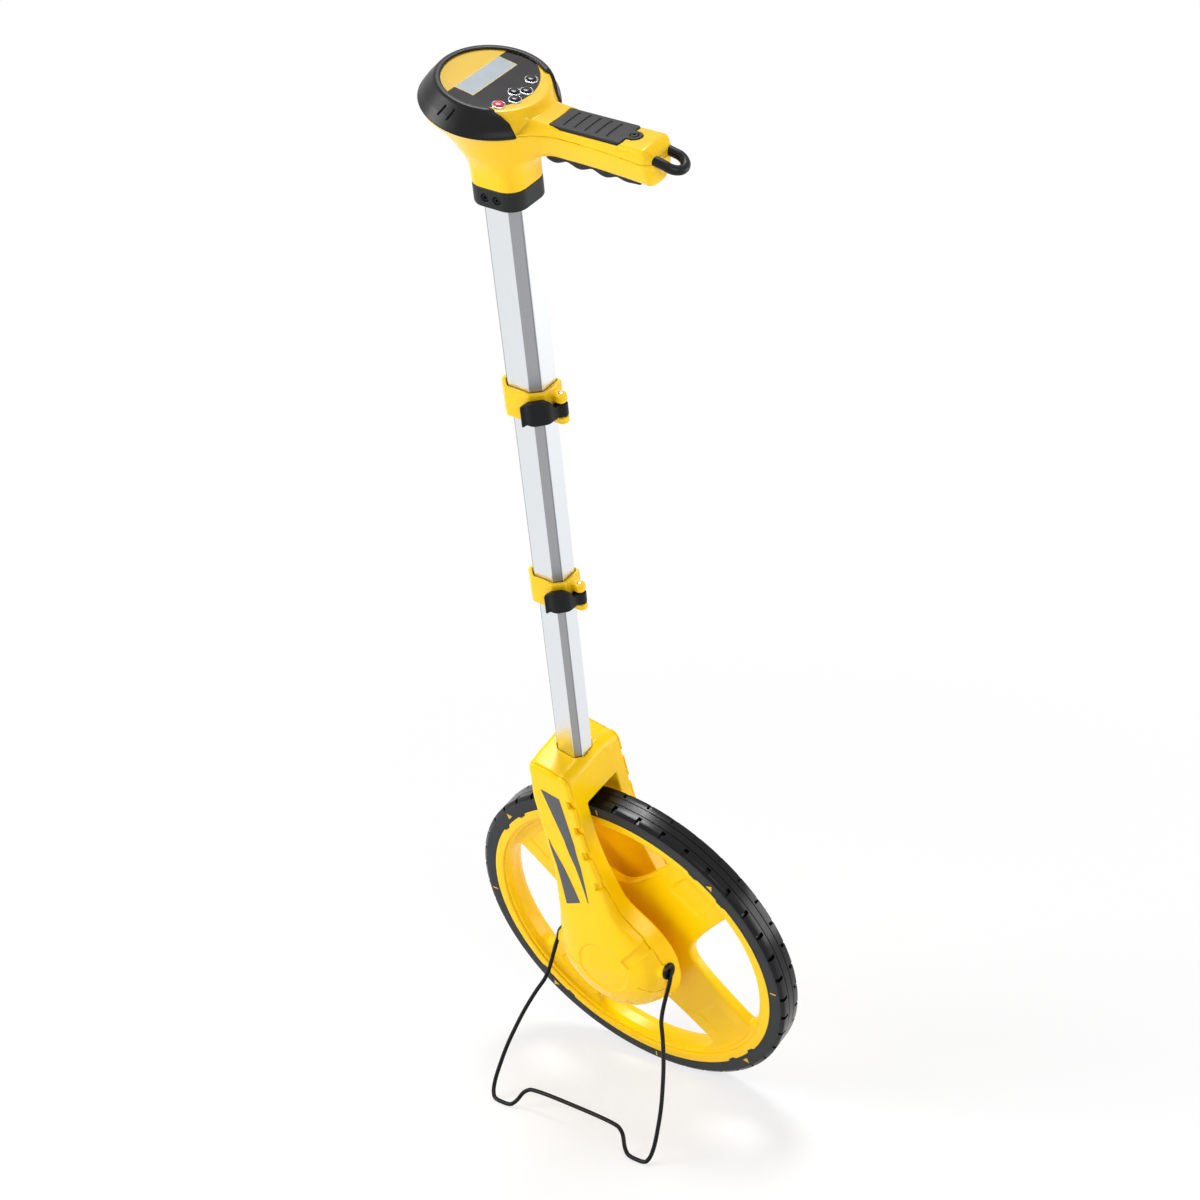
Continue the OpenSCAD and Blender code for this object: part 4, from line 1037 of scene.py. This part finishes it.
# Face
# A dark printed panel with a display window sunk in it and a yellow front segment, over the circuit boards.
# It is glued into the pod's rim, and the bumper's lip laps over its edge.

face_r = 42.4
panel_arc_u = -12.8
panel_arc_r = 47.3
panel_steps = 160
lcd_u = -7.6
lcd_half = (8.8, 28.4)
lcd_corners = [(1, 1), (-1, 1), (-1, -1), (1, -1)]
border_w = 0.5
border_low, border_top = -0.3, 0.28
chord_u = -16.6
# Printed polycarbonate: charcoal with a brownish cast, satin
panel_print = mottled("charcoal_printed_polycarbonate", "#231f20", "#1c191a", 22, (0.16, 0.24), 0.6, 0.004,
                      Specular_IOR_Level=0.2)
# Liquid crystal behind its window: silver blue in soft patches, with a glassy coat
crystal, tree, shader = new_finish("silver_liquid_crystal", Coat_Weight=0.6, Coat_Roughness=0.06)
spot = add(tree, "TexCoord", {}).outputs["Object"]
cloud = add(tree, "TexNoise", {"Vector": spot, "Scale": 1 / (9 * mm), "Detail": 2.0})
shade(tree, shader, cloud.outputs["Fac"], "#9aa7af", "#87949d", (0.3, 0.3))
# Printed gold line round the display: warm and half bright
gold_print = mottled("printed_gold_line", "#a9925a", "#97824f", 6, (0.35, 0.45), 0.5, 0.004, Metallic=0.6)
# Yellow print of the front segment: even and satin
yellow_print = mottled("printed_yellow_segment", "#ebc11c", "#e5b916", 25, (0.16, 0.24), 0.6, 0.004)
wear(green_lacquer, "main_board")
wear(grey_nylon, "display_module", "switches")

# The panel fills the face's circle and ends in a wider arc just behind the buttons
panel = []
for i in range(panel_steps):
    turn = 2 * pi * i / panel_steps
    arc = panel_arc_u * cos(turn) + sqrt(panel_arc_r ** 2 - (panel_arc_u * sin(turn)) ** 2)
    reach = min(face_r, arc)
    panel.append((reach * cos(turn), reach * sin(turn)))
points, faces = slab(panel, -1.5, 0.12)
panel_mesh = meshed(points, faces, face)
fitted("face_panel_print", panel_mesh, panel_print, "upper_mast", "panel_plastic", "face_panel")
half_turn = np.arccos(-chord_u / face_r)
segment_turns = np.linspace(pi - half_turn, pi + half_turn, 60)
segment = [(face_r * cos(turn), face_r * sin(turn)) for turn in segment_turns]
points, faces = slab(segment, -0.3, 0.2)
fitted("face_front_segment", meshed(points, faces, face), yellow_print, "upper_mast", "yellow_plastic")
window = []
for corner, (x, y) in enumerate(lcd_corners):
    for i in range(6):
        turn = pi / 2 * (corner + i / 5)
        window.append((lcd_u + x * (lcd_half[0] - 1) + cos(turn), y * (lcd_half[1] - 1) + sin(turn)))
points, faces = slab(window, -1.5, 0.22)
window_mesh = meshed(points, faces, face)
fitted("display_window_glass", window_mesh, crystal, "upper_mast", "display_glass", "display_window")
border = [(0, border_low), (0, border_top), (border_w, border_top), (border_w, border_low)]
rows = [[(lcd_u + x * (lcd_half[0] + grow), y * (lcd_half[1] + grow), h) for grow, h in border]
        for x, y in lcd_corners]
points, faces = swept(rows, True)
fitted("display_border", meshed(points, faces, face), gold_print, "upper_mast", "panel_plastic")


# Buttons
# Five domed caps of hard plastic, one red and four black, each in a bright plated ring.
# The rings clip into the panel, and each cap presses a switch under it.

button_places = [(24.5, -26.5), (29.7, -12.2), (29.5, 3.3), (22.8, 19), (23.2, -4)]
button_names = ["red_button", "button_1", "button_2", "button_3", "button_4"]
button_steps = 36
cap = [(4.3, -0.2), (4.3, 1.2), (4.15, 1.7), (3.6, 2.1), (2.6, 2.35), (1.2, 2.45)]
ring = [(4.5, -0.6), (4.5, 0.7), (4.7, 1), (5.05, 1.1), (5.4, 0.9), (5.6, 0.5), (5.6, -0.6)]
# Cap plastic: hard and glossy, in black and in red
black_cap = mottled("glossy_black_cap", "#0b0b0d", "#111113", 4, (0.16, 0.24), 0.6, 0.004,
                    Specular_IOR_Level=0.3)
red_cap = mottled("glossy_red_cap", "#d8354a", "#cc2d42", 4, (0.2, 0.28), 0.6, 0.004)
# Bright plated plastic of the rings
plated = bright_metal("plated_ring", "#c2c5c8", "#b0b3b7", (0.16, 0.24), 0.8, (1, 1, 1))
for (a, v), name in zip(button_places, button_names):
    spot = face @ Matrix.Translation((a, v, 0))
    red = name == "red_button"
    turned(cap, spot, red_cap if red else black_cap, f"{name}_cap", name,
           "red_plastic" if red else "black_plastic", name, steps=button_steps)
    turns = [2 * pi * k / button_steps for k in range(button_steps)]
    rows = [[(r * cos(turn), r * sin(turn), h) for r, h in ring] for turn in turns]
    points, faces = swept(rows, True)
    replaced = ["button_rings"] if red else []
    fitted(f"{name}_ring", meshed(points, faces, spot, 60), plated, "upper_mast", "white_plastic", *replaced)


# Battery cover
# A dark grey lid let into the handle's top, with five finger grooves and a tab at the rear for one screw.
# The cells and their spring contacts lie under it.

lid_top = handle_top + 1.2
lid_groove_count = 5
lid_groove_first = 12
lid_groove_pitch = 10
lid_groove_half = 11
# Grained lid plastic: dark grey, dry
lid_plastic = mottled("grained_dark_grey_abs", "#232223", "#2b2a2b", 14, (0.36, 0.48), 0.7, 0.015,
                      Specular_IOR_Level=0.2)


def lid_form(u, v, s):
    level = s + camber(v)
    lid = trimmed(trimmed(lid_plan(u, v), level - lid_top, 0.9), handle_top - 2.4 - level, 0.5)
    for k in range(lid_groove_count):
        groove_u = cover_from + lid_groove_first + lid_groove_pitch * k
        groove = trimmed(np.hypot(u - groove_u, level - lid_top) - 1, abs(v) - lid_groove_half, 0.6)
        lid = cut(lid, groove, 0.4)
    return cut(lid, trimmed(np.hypot(u - tab_u, v) - screw_hole_r, lid_top - 1.2 - level, 0.4), 0.4)


lid_low, lid_high = (cover_from - 3, -18, handle_top - 8), (tab_u + tab_r + 3, 18, lid_top + 3)
lid_mesh = moulded(lid_form, lid_low, lid_high, 0.6, mast)
fitted("battery_lid_moulding", lid_mesh, lid_plastic, "upper_mast", "black_plastic", "battery_cover")
screw_place = mast @ Matrix.Translation((tab_u, 0, lid_top - 1.4))
turned(socket_screw, screw_place, black_steel, "battery_screw_turned", "upper_mast", "steel", "battery_screw",
       steps=24)
# Shrink sleeve of the cells: dull dark blue
cell_sleeve = mottled("blue_cell_sleeve", "#24426b", "#1e3a60", 10, (0.4, 0.5), 0.6, 0.005)
wear(cell_sleeve, "battery_cells")
wear(zinc_steel, "battery_contacts")


# Finger grip
# A strip of dark grey rubber under the handle with scallops for the fingers, thinning out to the rear.
# It is moulded on its own and pushed into the lower shell.

grip_from = 50
grip_to = 140
grip_half = 9.8
scallop_first = 8
scallop_pitch = 24
scallop_deep = 3.4
# Grip rubber: charcoal and dry
grip_rubber = mottled("charcoal_grip_rubber", "#2a2d31", "#24272b", 10, (0.5, 0.62), 0.8, 0.02,
                      Specular_IOR_Level=0.2)


def grip_form(u, v, s):
    wave = 0.5 + 0.5 * np.cos(2 * pi * (u - grip_from - scallop_first) / scallop_pitch)
    deep = 0.5 + scallop_deep * wave ** 0.8 * (1 - 0.75 * eased(u, 112, 136))
    level = s + droop(u)
    strip = trimmed(abs(v) - grip_half, (handle_low - deep - level) * 0.9, 2.5)
    strip = trimmed(strip, level - handle_low - 2.5, 1)
    return trimmed(strip, abs(u - (grip_from + grip_to) / 2) - (grip_to - grip_from) / 2, 1.5)


grip_low, grip_high = (grip_from - 3, -13, handle_low - 9), (grip_to + 3, 13, handle_low + 6)
grip_mesh = moulded(grip_form, grip_low, grip_high, 0.8, mast)
fitted("finger_grip_moulding", grip_mesh, grip_rubber, "upper_mast", "black_rubber", "finger_grip")


# Hang loop
# A thick moulded loop of black rubber, bent into a U and sagging a little.
# Its ends are pushed into two holes in the handle's end.

loop_s = 956.5
loop_half = 9.5
loop_r = 4
loop_from = 147
loop_turn = 165
loop_sag = 0.46
loop_flat = [(loop_from, -loop_half)]
loop_flat += [(loop_turn + loop_half * cos(turn), loop_half * sin(turn))
              for turn in np.linspace(-pi / 2, pi / 2, 25)]
loop_flat += [(loop_from, loop_half)]
loop_route = [(u, v, loop_s - loop_sag * max(u - handle_end, 0)) for u, v in loop_flat]
bar(loop_route, loop_r, mast, bumper_rubber, "hang_loop_cord", "upper_mast", "black_rubber", "hang_loop")


# Stage
# A pale floor and a white surround, as in a studio: the camera and mirrors see white, and soft lamps
# light the object at a plain level. Lengths here and at the camera are in metres.

floor_half = 40
floor_corners = [(-1, -1), (1, -1), (1, 1), (-1, 1)]
floor_mesh = bpy.data.meshes.new("floor")
floor_mesh.from_pydata([(x * floor_half, y * floor_half, 0) for x, y in floor_corners], [], [(0, 1, 2, 3)])
floor = bpy.data.objects.new("floor", floor_mesh)
bpy.context.scene.collection.objects.link(floor)


def seen_white(tree):
    """1 for the rays by which the camera, mirrors and glass see the white surround"""
    path = add(tree, "LightPath", {})
    seen = add(tree, "Math", {0: path.outputs["Is Camera Ray"], 1: path.outputs["Is Glossy Ray"]},
               operation="MAXIMUM")
    seen = add(tree, "Math", {0: seen.outputs[0], 1: path.outputs["Is Transmission Ray"]},
               operation="MAXIMUM")
    return seen.outputs[0]


# Matt paper: white, holding the object's soft shadow near it and running out into the surround further off
paper, tree, shader = new_finish("matt_white_paper", Base_Color=tint("#f2f2f2"), Roughness=0.9)
spot = add(tree, "TexCoord", {}).outputs["Object"]
away = add(tree, "VectorMath", {0: spot}, operation="LENGTH")
fade = add(tree, "MapRange", {"Value": away.outputs["Value"], "From Min": 0.4, "From Max": 1.6, "To Min": 0.7,
                              "To Max": 1.0}, interpolation_type="SMOOTHSTEP")
share = add(tree, "Math", {0: seen_white(tree), 1: fade.outputs["Result"]}, operation="MULTIPLY")
white = add(tree, "Emission", {"Color": (1, 1, 1, 1), "Strength": 1.0})
lit = add(tree, "MixShader", {0: share.outputs[0], 1: shader.outputs[0], 2: white.outputs[0]})
tree.links.new(lit.outputs[0], tree.nodes["Material Output"].inputs["Surface"])
floor_mesh.materials.append(paper)

world = bpy.data.worlds.new("studio")
bpy.context.scene.world = world
world.use_nodes = True
tree = world.node_tree
tree.nodes.clear()
soft = add(tree, "Background", {"Color": tint("#f4f6f8"), "Strength": 0.2})
white = add(tree, "Background", {"Color": (1, 1, 1, 1), "Strength": 1.0})
both = add(tree, "MixShader", {0: seen_white(tree), 1: soft.outputs[0], 2: white.outputs[0]})
add(tree, "OutputWorld", {"Surface": both.outputs[0]})


def lamp(name, place, aim, size, power):
    """A large soft lamp aimed at a point"""
    light = bpy.data.lights.new(name, "AREA")
    light.size = size
    light.energy = power
    made = bpy.data.objects.new(name, light)
    made.location = place
    made.rotation_mode = "QUATERNION"
    made.rotation_quaternion = (Vector(aim) - Vector(place)).to_track_quat("-Z", "Y")
    bpy.context.scene.collection.objects.link(made)


lamp("key_softbox", (-1.9, -2.3, 1.6), (0, -0.1, 0.5), 1.4, 66)
lamp("fill_softbox", (2.4, -1.6, 1.8), (0, -0.1, 0.5), 1.2, 28)
lamp("top_softbox", (-1, 1.1, 9), (0, 0, 0.5), 2.2, 450)
lamp("rim_softbox", (2.5, 1.9, 0.7), (0, 0, 0.5), 1.4, 34)


# Camera
# Set where the photograph was taken: above the head's height, near side and a little behind, with a long
# lens on a square frame.

camera_place = (1.2097, -1.6649, 1.2727)
camera_ahead = Vector((-0.57834, 0.74525, -0.33186))
camera_roll = radians(-0.894)
lens = bpy.data.cameras.new("camera")
lens.lens = 63.04
lens.sensor_width = 36
camera = bpy.data.objects.new("camera", lens)
camera.location = camera_place
camera.rotation_mode = "QUATERNION"
camera.rotation_quaternion = camera_ahead.to_track_quat("-Z", "Y") @ Quaternion((0, 0, 1), camera_roll)
bpy.context.scene.collection.objects.link(camera)
bpy.context.scene.camera = camera
bpy.context.scene.view_settings.view_transform = "Standard"
